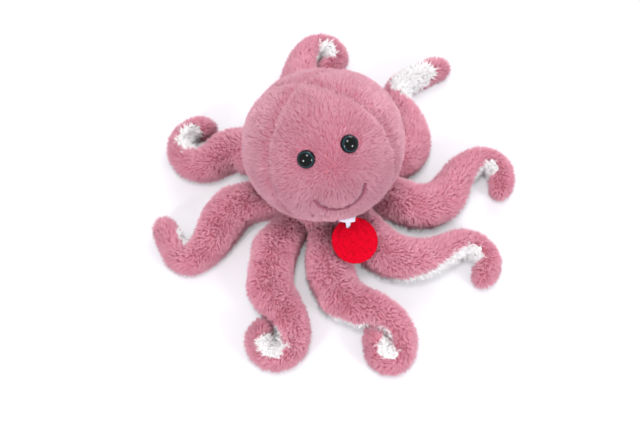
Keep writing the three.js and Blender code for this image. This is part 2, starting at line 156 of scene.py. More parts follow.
class Graph:
    """A node tree that is filled by short calls."""

    def __init__(self, tree: bpy.types.NodeTree) -> None:
        """Keeps the tree."""
        self.tree = tree

    def add(self, kind: str, values: Optional[dict] = None, **settings: object) -> bpy.types.Node:
        """Adds one node.

        Args:
            kind: The node's type name.
            values: Values or output sockets for its inputs, by name or number.
            **settings: The node's own properties.

        Returns:
            The new node.
        """
        node = self.tree.nodes.new(kind)
        for key, value in settings.items():
            setattr(node, key, value)
        for key, value in (values or {}).items():
            self.feed(node.inputs[key], value)
        return node

    def feed(self, socket: Socket, value: object) -> None:
        """Links an output to a socket, or sets the socket's own value.

        Args:
            socket: The input socket.
            value: An output socket or a plain value.
        """
        if isinstance(value, Socket):
            self.tree.links.new(value, socket)
        else:
            socket.default_value = value

    def math(self, operation: str, *terms: object) -> Socket:
        """Returns the result of a sum on numbers."""
        return self.add("ShaderNodeMath", dict(enumerate(terms)), operation=operation).outputs[0]

    def vector(self, operation: str, *terms: object) -> Socket:
        """Returns the result of a sum on vectors."""
        node = self.add("ShaderNodeVectorMath", dict(enumerate(terms)), operation=operation)
        return node.outputs[0]

    def scaled(self, vector: object, scale: object) -> Socket:
        """Returns a vector times a number."""
        node = self.add("ShaderNodeVectorMath", {0: vector, "Scale": scale}, operation="SCALE")
        return node.outputs[0]

    def ramp(self, share: object, stops: Sequence[tuple[float, Colour]]) -> Socket:
        """Maps a share to a colour.

        Args:
            share: The number that is mapped.
            stops: Each stop's place and colour, in order.

        Returns:
            The colour output.
        """
        node = self.add("ShaderNodeValToRGB", {0: share})
        elements = node.color_ramp.elements
        while len(elements) < len(stops):
            elements.new(1.0)
        for element, (place, colour) in zip(elements, stops):
            element.position = place
            element.color = colour
        return node.outputs[0]

    def blend(self, share: object, first: object, second: object) -> Socket:
        """Mixes two colours.

        Args:
            share: How much of the second colour there is.
            first: The first colour.
            second: The second colour.

        Returns:
            The mixed colour.
        """
        node = self.add("ShaderNodeMix", data_type="RGBA")
        for name, value in (("Factor_Float", share), ("A_Color", first), ("B_Color", second)):
            self.feed(next(s for s in node.inputs if s.identifier == name), value)
        return next(s for s in node.outputs if s.identifier == "Result_Color")


class Surface(Graph):
    """A material's graph, which ends in one Principled shader."""

    def __init__(self, name: str, roughness: float, **constants: object) -> None:
        """Starts a material.

        Args:
            name: The material's name.
            roughness: Its roughness.
            **constants: Other values of the shader, with underscores for spaces.
        """
        self.material = bpy.data.materials.new(name)
        self.material.use_nodes = True
        super().__init__(self.material.node_tree)
        self.shader = self.tree.nodes["Principled BSDF"]
        self.shader.inputs["Roughness"].default_value = roughness
        for key, value in constants.items():
            self.shader.inputs[key.replace("_", " ")].default_value = value

    def paint(self, colour: object) -> None:
        """Sets or links the base colour."""
        self.feed(self.shader.inputs["Base Color"], colour)

    def place(self) -> Socket:
        """Returns the point on the object, in its own coordinates."""
        return self.add("ShaderNodeTexCoord").outputs["Object"]

    def from_map(self) -> Sequence[Socket]:
        """Returns both numbers that a piece's own map holds."""
        mapped = self.add("ShaderNodeUVMap", uv_map=BAKE_MAP).outputs[0]
        return self.add("ShaderNodeSeparateXYZ", {0: mapped}).outputs

    def noise(self, size: float, detail: float) -> Socket:
        """Adds noise of a real size.

        Args:
            size: The size of its blotches, in metres.
            detail: How many finer layers it has.

        Returns:
            The noise's value.
        """
        values = {"Vector": self.place(), "Scale": 1 / size, "Detail": detail}
        return self.add("ShaderNodeTexNoise", values).outputs["Fac"]

    def bump(self, height: object, depth: float, strength: float = 0.6) -> None:
        """Roughens the surface by a height.

        Args:
            height: The height, from 0 to 1.
            depth: The depth of the relief, in metres.
            strength: How strongly it shows.
        """
        values = {"Height": height, "Distance": depth, "Strength": strength}
        node = self.add("ShaderNodeBump", values)
        self.feed(self.shader.inputs["Normal"], node.outputs[0])


# Finishes


@dataclass(frozen=True)
class PileFinish:
    """The colour of a pile, from its dark root to its pale tip: the fibres' dye, with painted
    shade deep in the pile and painted light through the tips.
    """

    name: str
    root: Colour
    middle: Colour
    tip: Colour
    deep: Colour
    glow: Colour = PLAIN_WHITE
    roughness: float = 0.8
    gloss: float = 0.12
    sheen: float = 0.35
    sheen_spread: float = 0.4
    pale_height: float = 0.45
    deep_height: float = 0.55

    def build(self) -> bpy.types.Material:
        """Makes the material, which reads tone and height from each strand's own map.

        Returns:
            The material.
        """
        surface = Surface(
            self.name, self.roughness, Sheen_Weight=self.sheen, Sheen_Tint=self.glow,
            Sheen_Roughness=self.sheen_spread, Specular_IOR_Level=self.gloss,
        )
        tone, height, _ = surface.from_map()
        # Painted shade darkens each strand towards its root, and painted light through the fibre
        # pales it towards its tip.
        pale_stops = [(0.0, self.root), (self.pale_height, self.middle), (1.0, self.tip)]
        deep_stops = [(0.0, self.root), (self.deep_height, self.deep), (1.0, self.middle)]
        pale = surface.ramp(height, pale_stops)
        deep = surface.ramp(height, deep_stops)
        surface.paint(surface.blend(tone, deep, pale))
        return surface.material


@dataclass(frozen=True)
class MatFinish:
    """Cloth, fibres or plastic of one dye with a fine relief."""

    name: str
    colour: Colour
    shade: Colour
    grain: float
    relief: float
    roughness: float
    sheen: float = 0.2
    gloss: float = 0.5
    detail: float = 3.0
    blotch: float = 0.0

    def build(self) -> bpy.types.Material:
        """Makes the material, with blotches where they have a size of their own.

        Returns:
            The material.
        """
        gloss = {"Sheen_Weight": self.sheen, "Specular_IOR_Level": self.gloss}
        surface = Surface(self.name, self.roughness, **gloss)
        grain = surface.noise(self.grain, self.detail)
        patches = surface.noise(self.blotch, self.detail) if self.blotch else grain
        surface.paint(surface.blend(patches, self.shade, self.colour))
        surface.bump(grain, self.relief)
        return surface.material


@dataclass(frozen=True)
class EyeFinish:
    """Glossy moulded plastic with a black middle and a dark teal ring."""

    name: str = "glossy_eye"
    black: Colour = dye(1, 2, 3)
    ring: Colour = dye(18, 42, 50)
    rim: Colour = dye(6, 12, 14)
    roughness: float = 0.03
    gloss: float = 0.21
    black_reach: float = 0.7
    ring_band: tuple[float, float] = (0.8, 0.88)
    rim_start: float = 0.94

    def build(self) -> bpy.types.Material:
        """Makes the material, which reads how far out a point lies from the eye's own map.

        Returns:
            The material.
        """
        surface = Surface(self.name, self.roughness, Specular_IOR_Level=self.gloss)
        _, outward, _ = surface.from_map()
        stops = [(0.0, self.black), (self.black_reach, self.black)]
        stops += [(place, self.ring) for place in self.ring_band]
        stops.append((self.rim_start, self.rim))
        surface.paint(surface.ramp(outward, stops))
        return surface.material


# Each pile darkens to its root and pales to its tip: painted shade deep in the pile and painted
# light through the tips, over the fibres' dye.
FACE_PILE = PileFinish(
    "face_pile", root=dye(190, 118, 139), middle=dye(211, 151, 171), tip=dye(236, 192, 207),
    deep=dye(187, 119, 139), glow=dye(255, 196, 212), sheen=0.6,
)
ARM_PILE = PileFinish(
    "arm_pile", root=dye(181, 96, 117), middle=dye(220, 152, 171), tip=dye(236, 189, 203),
    deep=dye(202, 122, 143), glow=dye(255, 184, 204),
)
SOLE_PILE = PileFinish(
    "sole_pile", root=dye(216, 211, 213), middle=dye(248, 247, 249), tip=dye(254, 254, 255),
    deep=dye(228, 225, 229),
)
FELT_FUZZ = PileFinish(
    "felt_fuzz", root=dye(162, 1, 26), middle=dye(202, 3, 36), tip=dye(218, 16, 48),
    deep=dye(178, 2, 30), sheen=0.0,
)
PINK_CLOTH = MatFinish(
    "pink_cloth", dye(184, 107, 126), dye(164, 88, 107), grain=0.7 * MM, relief=0.3 * MM,
    roughness=0.95, blotch=12 * MM,
)
WHITE_CLOTH = MatFinish(
    "white_cloth", dye(244, 242, 242), dye(226, 222, 222), grain=0.7 * MM, relief=0.3 * MM,
    roughness=0.95, blotch=12 * MM,
)
WADDING = MatFinish(
    "wadding", dye(246, 245, 240), dye(222, 220, 214), grain=1.2 * MM, relief=0.8 * MM,
    roughness=0.9, gloss=0.3, detail=4.0,
)
RED_FELT = MatFinish(
    "red_felt", dye(206, 3, 36), dye(172, 1, 26), grain=0.45 * MM, relief=0.25 * MM,
    roughness=0.9, sheen=0.0, gloss=0.05, detail=4.0,
)
MAUVE_THREAD = MatFinish(
    "mauve_thread", dye(138, 62, 88), dye(104, 42, 66), grain=0.3 * MM, relief=0.1 * MM,
    roughness=0.5, gloss=0.3, detail=4.0,
)
WHITE_RIBBON = MatFinish(
    "white_ribbon", dye(226, 226, 236), dye(160, 160, 182), grain=1.1 * MM, relief=0.5 * MM,
    roughness=0.6, gloss=0.3, detail=4.0,
)
WHITE_PLASTIC = MatFinish(
    "washer_plastic", dye(232, 232, 226), dye(216, 216, 210), grain=0.4 * MM,
    relief=0.02 * MM, roughness=0.45, sheen=0.0,
)
BUTTON_EYE = EyeFinish()


# Frame and mesh helpers


def joint_of(body: str) -> dict:
    """Returns the joint that carries a body."""
    return next(joint for joint in frame["joints"] if joint["child"] == body)


def paint_node(node: str, material: bpy.types.Material) -> None:
    """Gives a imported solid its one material.

    Args:
        node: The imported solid's name.
        material: Its material.
    """
    slots = frame["nodes"][node].data.materials
    slots.clear()
    slots.append(material)


def middle_of(points: Sequence[Vector]) -> Vector:
    """Returns the mean of points."""
    return sum(points, Vector()) / len(points)


def link(name: str, data: bpy.types.ID) -> bpy.types.Object:
    """Puts a mesh, a lamp or a camera in the scene.

    Args:
        name: The new object's name.
        data: What the object shows.

    Returns:
        The new object.
    """
    obj = bpy.data.objects.new(name, data)
    bpy.context.scene.collection.objects.link(obj)
    return obj


def to_object(
    name: str, bm: bmesh.types.BMesh, material: Optional[bpy.types.Material] = None
) -> bpy.types.Object:
    """Makes an object of a bmesh and frees it.

    Args:
        name: The object's name.
        bm: The finished bmesh.
        material: The material of every face.

    Returns:
        The new object.
    """
    mesh = bpy.data.meshes.new(name)
    for face in bm.faces:
        face.smooth = True
    bm.to_mesh(mesh)
    bm.free()
    if material:
        mesh.materials.append(material)
    return link(name, mesh)


def baked(obj: bpy.types.Object, name: str) -> bpy.types.Object:
    """Swaps an object with live modifiers for one that holds their result.

    Args:
        obj: The object to finish, which is removed.
        name: The new object's name.

    Returns:
        The finished object.
    """
    graph = bpy.context.evaluated_depsgraph_get()
    mesh = bpy.data.meshes.new_from_object(obj.evaluated_get(graph), depsgraph=graph)
    discard(obj)
    mesh.name = name
    return link(name, mesh)


def discard(obj: bpy.types.Object) -> None:
    """Removes an object and its mesh.

    Args:
        obj: The object, which is no longer of use.
    """
    mesh = obj.data
    bpy.data.objects.remove(obj)
    bpy.data.meshes.remove(mesh)


def merged_copy(node: str) -> bmesh.types.BMesh:
    """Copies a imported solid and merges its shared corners.

    Args:
        node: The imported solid's name.

    Returns:
        The copy.
    """
    bm = bmesh.new()
    bm.from_mesh(frame["nodes"][node].data)
    bmesh.ops.remove_doubles(bm, verts=bm.verts, dist=WELD)
    return bm


def tree_of(node: str) -> BVHTree:
    """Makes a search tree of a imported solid's faces.

    Args:
        node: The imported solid's name.

    Returns:
        The tree.
    """
    bm = merged_copy(node)
    tree = BVHTree.FromBMesh(bm)
    bm.free()
    return tree


def keep_largest_island(bm: bmesh.types.BMesh) -> None:
    """Deletes every loose part of a bmesh but the one with the most vertices.

    Args:
        bm: The bmesh, which is changed.
    """
    left = set(bm.verts)
    islands = []
    while left:
        island, front = set(), [left.pop()]
        while front:
            vert = front.pop()
            island.add(vert)
            near = [edge.other_vert(vert) for edge in vert.link_edges]
            fresh = [other for other in near if other in left]
            left.difference_update(fresh)
            front.extend(fresh)
        islands.append(island)
    largest = max(islands, key=len)
    loose = [vert for vert in bm.verts if vert not in largest]
    bmesh.ops.delete(bm, geom=loose, context="VERTS")


def stood(place: Vector, way: Vector) -> Matrix:
    """Returns the matrix that stands a thing at a place, with its height along a way."""
    return Matrix.Translation(place) @ way.to_track_quat("Z", "Y").to_matrix().to_4x4()


def seated(place: Vector, *axes: Vector) -> Matrix:
    """Returns the matrix that sets a thing at a place, with its axes along three ways."""
    return Matrix.Translation(place) @ Matrix(axes).transposed().to_4x4()


def catmull(before: Vector, start: Vector, end: Vector, after: Vector, share: float) -> Vector:
    """Finds a point of the smooth line from start to end.

    Args:
        before: The point before the start.
        start: Where the run starts.
        end: Where it ends.
        after: The point after the end.
        share: How far along the run the point lies.

    Returns:
        The point.
    """
    rise = (end - before) / 2
    fall = (after - start) / 2
    square, cube = share ** 2, share ** 3
    kept = start * (2 * cube - 3 * square + 1) + end * (3 * square - 2 * cube)
    return kept + rise * (cube - 2 * square + share) + fall * (cube - square)


def nearness(points: Iterable[Vector]) -> KDTree:
    """Makes a balanced search tree of points.

    Args:
        points: The points, which keep their numbers.

    Returns:
        The tree.
    """
    found = list(points)
    tree = KDTree(len(found))
    for index, point in enumerate(found):
        tree.insert(point, index)
    tree.balance()
    return tree


# Stuffed forms


@dataclass(frozen=True)
class StuffedForm:
    """One closed stuffed form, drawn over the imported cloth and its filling."""

    cloth: Sequence[str]
    filling: str
    filling_swell: float
    voxel: float = 2.2 * MM
    smoothing: int = 10
    plump: float = 0.7 * MM
    softness: float = 0.5

    def build(self) -> bmesh.types.BMesh:
        """Joins the cloth with the swollen filling and draws one skin over both.

        Returns:
            The smooth closed form.
        """
        joined = bmesh.new()
        for node in self.cloth:
            joined.from_mesh(frame["nodes"][node].data)
        inner = merged_copy(self.filling)
        for vert in inner.verts:
            vert.co += vert.normal * self.filling_swell
        held = bpy.data.meshes.new("inner")
        inner.to_mesh(held)
        inner.free()
        joined.from_mesh(held)
        bpy.data.meshes.remove(held)
        bmesh.ops.remove_doubles(joined, verts=joined.verts, dist=WELD)
        obj = to_object("form", joined)
        remesh = obj.modifiers.new("skin", "REMESH")
        remesh.mode = "VOXEL"
        remesh.voxel_size = self.voxel
        whole = baked(obj, "form")
        bm = bmesh.new()
        bm.from_mesh(whole.data)
        discard(whole)
        keep_largest_island(bm)
        self.smooth(bm)
        return bm

    def smooth(self, bm: bmesh.types.BMesh) -> None:
        """Softens the form, plumps it back out and keeps it above the ground.

        Args:
            bm: The form, which is changed.
        """
        for _ in range(self.smoothing):
            bmesh.ops.smooth_vert(
                bm, verts=bm.verts, factor=self.softness,
                use_axis_x=True, use_axis_y=True, use_axis_z=True,
            )
        bm.normal_update()
        for vert in bm.verts:
            vert.co += vert.normal * self.plump
            vert.co.z = max(vert.co.z, 0.0)
        bm.normal_update()


@dataclass
class Panels:
    """The sewn panels of a stuffed form: which faces each has and where the seams run."""

    form: bmesh.types.BMesh
    nodes: Sequence[str]
    seam_depth: float
    seam_width: float
    handicap: NumberAt = nowhere
    tightness: NumberAt = everywhere

    def __post_init__(self) -> None:
        """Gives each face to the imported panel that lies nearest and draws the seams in."""
        trees = [tree_of(node) for node in self.nodes]
        self.owner = self.form.faces.layers.int.new("owner")
        for face in self.form.faces:
            centre = face.calc_center_median()
            gaps = [tree.find_nearest(centre)[3] for tree in trees]
            gaps[-1] += self.handicap(centre)
            face[self.owner] = gaps.index(min(gaps))
        self.seams = nearness(
            vert.co.copy() for vert in self.form.verts
            if len({face[self.owner] for face in vert.link_faces}) > 1
        )
        for vert in self.form.verts:
            away = self.to_seam(vert.co) / self.seam_width
            drawn = vert.normal * self.seam_depth * self.tightness(vert.co)
            vert.co -= drawn * math.exp(-away * away)
        self.form.normal_update()

    def to_seam(self, point: Vector) -> float:
        """Returns the distance from a point to the nearest seam."""
        distance = self.seams.find(point)[2]
        return math.inf if distance is None else distance

    def cut(self, node: str) -> bmesh.types.BMesh:
        """Cuts one panel out of a copy of the form.

        Args:
            node: The panel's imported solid.

        Returns:
            The panel's faces.
        """
        index = list(self.nodes).index(node)
        part = self.form.copy()
        owner = part.faces.layers.int["owner"]
        others = [face for face in part.faces if face[owner] != index]
        bmesh.ops.delete(part, geom=others, context="FACES")
        return part


# Pile


@dataclass(frozen=True)
class PileCut:
    """How a pile is cut: its strands, its tufts, the way they lean and how their tones vary."""

    name: str
    length: float
    strand_radius: float
    strands: int
    foot_spread: float
    tip_spread: float
    tufts: float
    scatter: float
    swirl: float
    swirl_size: float
    combed: float
    shortest: float = 0.7
    patterns: int = 6
    strand_sides: int = 3
    root_depth: float = 0.4 * MM
    ground_gap: float = 0.2 * MM
    swirl_detail: float = 1.0
    blotch_fineness: float = 0.6
    blotch_detail: float = 2.0
    tone_contrast: float = 2.2
    tone_middle: float = 0.55
    tone_chance: float = 0.22
    own_tone: float = 0.35
    tone_range: tuple[float, float] = (0.02, 0.98)


class TuftGraph(Graph):
    """The graph that sets tufts of one cut on a bed of cloth."""

    def __init__(self, cut: PileCut, patterns: bpy.types.Collection, seed: int) -> None:
        """Builds the graph.

        Args:
            cut: How the pile is cut.
            patterns: The pattern tufts.
            seed: The seed of everything random in it.
        """
        super().__init__(bpy.data.node_groups.new(cut.name, "GeometryNodeTree"))
        self.cut = cut
        self.seed = seed
        for name, way in (("Bed", "INPUT"), ("Pile", "OUTPUT")):
            self.tree.interface.new_socket(name, in_out=way, socket_type="NodeSocketGeometry")
        bed = self.add("NodeGroupInput").outputs[0]
        density = self.math("MULTIPLY", self.named("cover"), cut.tufts / SQUARE_MM)
        spread = {"Mesh": bed, "Density": density, "Seed": seed}
        points = self.add("GeometryNodeDistributePointsOnFaces", spread).outputs
        upright = self.vector("ADD", points["Normal"], self.lean())
        toned = self.stored(points["Points"], "tone", self.tone(), "FLOAT", "POINT")
        held = {"Collection": patterns, "Separate Children": True, "Reset Children": True}
        planted = {
            "Points": toned,
            "Instance": self.add("GeometryNodeCollectionInfo", held).outputs[0],
            "Pick Instance": True,
            "Rotation": self.facing(upright),
            "Scale": self.size(),
        }
        tufts = self.add("GeometryNodeInstanceOnPoints", planted).outputs[0]
        real = self.add("GeometryNodeRealizeInstances", {0: tufts}).outputs[0]
        mapped = self.stored(real, BAKE_MAP, self.strand_map(), "FLOAT2", "CORNER")
        self.add("NodeGroupOutput", {0: self.above_ground(mapped)})

    def named(self, name: str, kind: str = "FLOAT") -> Socket:
        """Returns a named attribute's value."""
        node = self.add("GeometryNodeInputNamedAttribute", {"Name": name}, data_type=kind)
        return node.outputs[0]

    def stored(
        self, geometry: Socket, name: str, value: Socket, kind: str, domain: str
    ) -> Socket:
        """Stores a named attribute.

        Args:
            geometry: The geometry that gets it.
            name: The attribute's name.
            value: Its value.
            kind: Its data type.
            domain: Where it is held.

        Returns:
            The geometry with the attribute.
        """
        values = {"Geometry": geometry, "Name": name, "Value": value}
        node = self.add("GeometryNodeStoreNamedAttribute", values, data_type=kind, domain=domain)
        return node.outputs[0]

    def joined(self, across: object, along: object, height: object) -> Socket:
        """Returns a vector of three numbers."""
        values = {"X": across, "Y": along, "Z": height}
        return self.add("ShaderNodeCombineXYZ", values).outputs[0]

    def place(self) -> Socket:
        """Returns the point where the graph stands."""
        return self.add("GeometryNodeInputPosition").outputs[0]

    def noise(self, fineness: float, detail: float, output: str) -> Socket:
        """Adds noise that goes with the size of the swirls.

        Args:
            fineness: How many blotches there are to a swirl.
            detail: How many finer layers it has.
            output: The name of the output.

        Returns:
            The output.
        """
        scale = fineness / self.cut.swirl_size
        values = {"Vector": self.place(), "Scale": scale, "Detail": detail}
        return self.add("ShaderNodeTexNoise", values).outputs[output]

    def chance(self, low: float, high: float, draw: Draw) -> Socket:
        """Draws a number for each tuft.

        Args:
            low: The least number.
            high: The greatest.
            draw: What it is drawn for.

        Returns:
            The number.
        """
        values = {2: low, 3: high, "Seed": self.seed + draw.value}
        return self.add("FunctionNodeRandomValue", values, data_type="FLOAT").outputs[1]

    def lean(self) -> Socket:
        """Adds up what makes a tuft lean: the swirls, chance and the comb.

        Returns:
            The lean.
        """
        cut = self.cut
        swirls = self.noise(1.0, cut.swirl_detail, "Color")
        centred = self.vector("SUBTRACT", swirls, (NOISE_MIDDLE,) * 3)
        swirl = self.scaled(centred, 2 * cut.swirl)
        seed = self.seed + Draw.LEAN.value
        reach = {0: (-cut.scatter,) * 3, 1: (cut.scatter,) * 3, "Seed": seed}
        scatter = self.add("FunctionNodeRandomValue", reach, data_type="FLOAT_VECTOR").outputs[0]
        combed = self.scaled(self.named("comb", "FLOAT_VECTOR"), cut.combed)
        return self.vector("ADD", self.vector("ADD", swirl, scatter), combed)

    def facing(self, upright: Socket) -> Socket:
        """Spins a tuft by chance and stands it along its way.

        Args:
            upright: The way in which it grows.

        Returns:
            The tuft's rotation.
        """
        spun = self.joined(0.0, 0.0, self.chance(0.0, 2 * math.pi, Draw.SPIN))
        turned = self.add("FunctionNodeEulerToRotation", {0: spun}).outputs[0]
        values = {"Rotation": turned, "Vector": upright}
        return self.add("FunctionNodeAlignRotationToVector", values, axis="Z").outputs[0]

    def size(self) -> Socket:
        """Returns a tuft's size, which only varies in its height."""
        grown = self.chance(self.cut.shortest, 1.0, Draw.GROWTH)
        return self.joined(1.0, 1.0, self.math("MULTIPLY", grown, self.named("pile")))

    def tone(self) -> Socket:
        """Finds a tuft's tone: neighbours are alike, with some chance in it, and painted shade
        from the bed deepens it.

        Returns:
            The tone.
        """
        cut = self.cut
        blotch = self.noise(cut.blotch_fineness, cut.blotch_detail, "Fac")
        chance = self.chance(-cut.tone_chance, cut.tone_chance, Draw.TONE)
        centred = self.math("SUBTRACT", blotch, NOISE_MIDDLE)
        wide = self.math("MULTIPLY_ADD", centred, cut.tone_contrast, cut.tone_middle)
        # The shade layer is painted shade: it takes from the tone.
        return self.math("SUBTRACT", self.math("ADD", wide, chance), self.named("shade"))

    def strand_map(self) -> Socket:
        """Finds each strand's tone, which is part its own and part its tuft's, and its height.

        Returns:
            Both in one vector.
        """
        cut = self.cut
        own = self.add("ShaderNodeSeparateXYZ", {0: self.named(BAKE_MAP, "FLOAT_VECTOR")})
        part = self.math("MULTIPLY", own.outputs[0], cut.own_tone)
        mixed = self.math("MULTIPLY_ADD", self.named("tone"), 1 - cut.own_tone, part)
        low, high = cut.tone_range
        held = self.add("ShaderNodeClamp", {0: mixed, 1: low, 2: high}).outputs[0]
        return self.joined(held, own.outputs[1], 0.0)

    def above_ground(self, geometry: Socket) -> Socket:
        """Presses flat on the ground what would pass it.

        Args:
            geometry: The pile.

        Returns:
            The pile above the ground.
        """
        split = self.add("ShaderNodeSeparateXYZ", {0: self.place()}).outputs
        height = self.math("MAXIMUM", split[2], self.cut.ground_gap)
        values = {"Geometry": geometry, "Position": self.joined(split[0], split[1], height)}
        return self.add("GeometryNodeSetPosition", values).outputs[0]


class Pile:
    """Grows tufts of one cut and dye from beds of cloth."""

    def __init__(self, cut: PileCut, finish: PileFinish, seed: int) -> None:
        """Makes the pattern tufts and the graph that sets them.

        Args:
            cut: How the pile is cut.
            finish: How it is dyed.
            seed: The seed of everything random in it.
        """
        self.cut = cut
        self.material = finish.build()
        self.random = random.Random(seed)
        self.patterns = bpy.data.collections.new(cut.name)
        for index in range(cut.patterns):
            tuft = self.tuft(f"{cut.name}_{index}")
            bpy.context.scene.collection.objects.unlink(tuft)
            self.patterns.objects.link(tuft)
        self.tree = TuftGraph(cut, self.patterns, seed).tree

    def tuft(self, name: str) -> bpy.types.Object:
        """Makes one pattern tuft that stands on the origin.

        Args:
            name: The tuft's name.

        Returns:
            The tuft.
        """
        cut = self.cut
        bm = bmesh.new()
        uv = bm.loops.layers.uv.new(BAKE_MAP)
        for _ in range(cut.strands):
            foot = self.spot(cut.foot_spread, -cut.root_depth)
            tip = self.spot(cut.tip_spread, cut.length * self.random.uniform(cut.shortest, 1.0))
            self.strand(bm, uv, foot, tip)
        return to_object(name, bm, self.material)

    def spot(self, spread: float, height: float) -> Vector:
        """Picks a random point of a disc.

        Args:
            spread: The disc's radius.
            height: How high it lies.

        Returns:
            The point.
        """
        angle = self.random.uniform(0, 2 * math.pi)
        reach = spread * math.sqrt(self.random.random())
        return Vector((reach * math.cos(angle), reach * math.sin(angle), height))

    def strand(
        self, bm: bmesh.types.BMesh, uv: bmesh.types.BMLayerItem, foot: Vector, tip: Vector
    ) -> None:
        """Adds one pointed strand with its tone and height in its map.

        Args:
            bm: The tuft.
            uv: The tuft's map.
            foot: Where the strand is rooted.
            tip: Where it ends.
        """
        run = tip - foot
        verts = bmesh.ops.create_cone(
            bm, segments=self.cut.strand_sides, radius1=self.cut.strand_radius, radius2=0.0,
            depth=run.length, matrix=stood((foot + tip) / 2, run),
        )["verts"]
        bmesh.ops.remove_doubles(bm, verts=verts, dist=WELD)
        tone = self.random.random()
        for face in {face for vert in verts if vert.is_valid for face in vert.link_faces}:
            for loop in face.loops:
                height = (loop.vert.co - foot).dot(run) / run.length_squared
                loop[uv].uv = (tone, min(1.0, max(0.0, height)))

    def grow(self, bed: bmesh.types.BMesh, name: str) -> bpy.types.Object:
        """Grows the pile on a bed, which is used up.

        Args:
            bed: The cloth, with its nap laid.
            name: The new piece's name.

        Returns:
            The pile as a mesh of its own.
        """
        obj = to_object(f"{name}_bed", bed)
        modifier = obj.modifiers.new("tufts", "NODES")
        modifier.node_group = self.tree
        piece = baked(obj, name)
        kept = piece.data.attributes
        for layer in [found.name for found in kept if found.name in GUIDE_LAYERS]:
            kept.remove(kept[layer])
        return piece

    def clear(self) -> None:
        """Removes the pattern tufts, which are no part of the toy."""
        for tuft in list(self.patterns.objects):
            discard(tuft)
        bpy.data.collections.remove(self.patterns)


@dataclass
class Nap:
    """How a pile lies at a point of its bed."""

    cover: float = 1.0
    pile: float = 1.0
    comb: Vector = Vector((0, 0, 0))
    # shade: painted shade that deepens the tufts' tone.
    shade: float = 0.0


NapAt = Callable[[bmesh.types.BMVert], Nap]


def plain_nap(vert: bmesh.types.BMVert) -> Nap:
    """Returns the same upright nap at every vertex."""
    return Nap()


def lay_nap(bed: bmesh.types.BMesh, nap_at: NapAt) -> None:
    """Writes the nap of a bed into its layers.

    Args:
        bed: The bed of cloth.
        nap_at: Gives the nap at a vertex.
    """
    cover = bed.verts.layers.float.new("cover")
    pile = bed.verts.layers.float.new("pile")
    comb = bed.verts.layers.float_vector.new("comb")
    # The shade layer carries painted shade.
    shade = bed.verts.layers.float.new("shade")
    for vert in bed.verts:
        nap = nap_at(vert)
        vert[cover] = nap.cover
        vert[pile] = nap.pile
        vert[comb] = nap.comb
        vert[shade] = nap.shade


@dataclass(frozen=True)
class Clearing:
    """How a pile gives way round a thing: none close by, and short up to the ring's edge."""

    bare: float
    ring: float
    least: float

    def length(self, gap: float) -> float:
        """Returns the share of its length that the pile has at a distance from the thing."""
        return mix(self.least, 1.0, ease(gap, self.bare, self.ring))


FACE_CUT = PileCut(
    "face_tuft", length=5.0 * MM, strand_radius=0.17 * MM, strands=7, foot_spread=0.85 * MM,
    tip_spread=0.8 * MM, tufts=0.66, scatter=0.34, swirl=0.4, swirl_size=9 * MM, combed=1.0,
)
ARM_CUT = PileCut(
    "arm_tuft", length=6.8 * MM, strand_radius=0.2 * MM, strands=7, foot_spread=0.95 * MM,
    tip_spread=0.9 * MM, tufts=0.7, scatter=0.42, swirl=0.6, swirl_size=9 * MM, combed=1.0,
)
SOLE_CUT = PileCut(
    "sole_tuft", length=8.8 * MM, strand_radius=0.4 * MM, strands=5, foot_spread=0.9 * MM,
    tip_spread=1.3 * MM, tufts=0.55, scatter=0.8, swirl=1.2, swirl_size=7 * MM, combed=0.3,
    shortest=0.5,
)
FELT_CUT = PileCut(
    "felt_tuft", length=1.2 * MM, strand_radius=0.08 * MM, strands=4, foot_spread=0.3 * MM,
    tip_spread=0.8 * MM, tufts=1.4, scatter=1.2, swirl=0.5, swirl_size=3 * MM, combed=0.0,
)


# Pieces


@dataclass(frozen=True)
class Plush:
    """One fabric: its slot, its pile and the cloth that this grows from."""

    slot: Slot
    pile: Pile
    cloth: bpy.types.Material
    thickness: float = 1.4 * MM


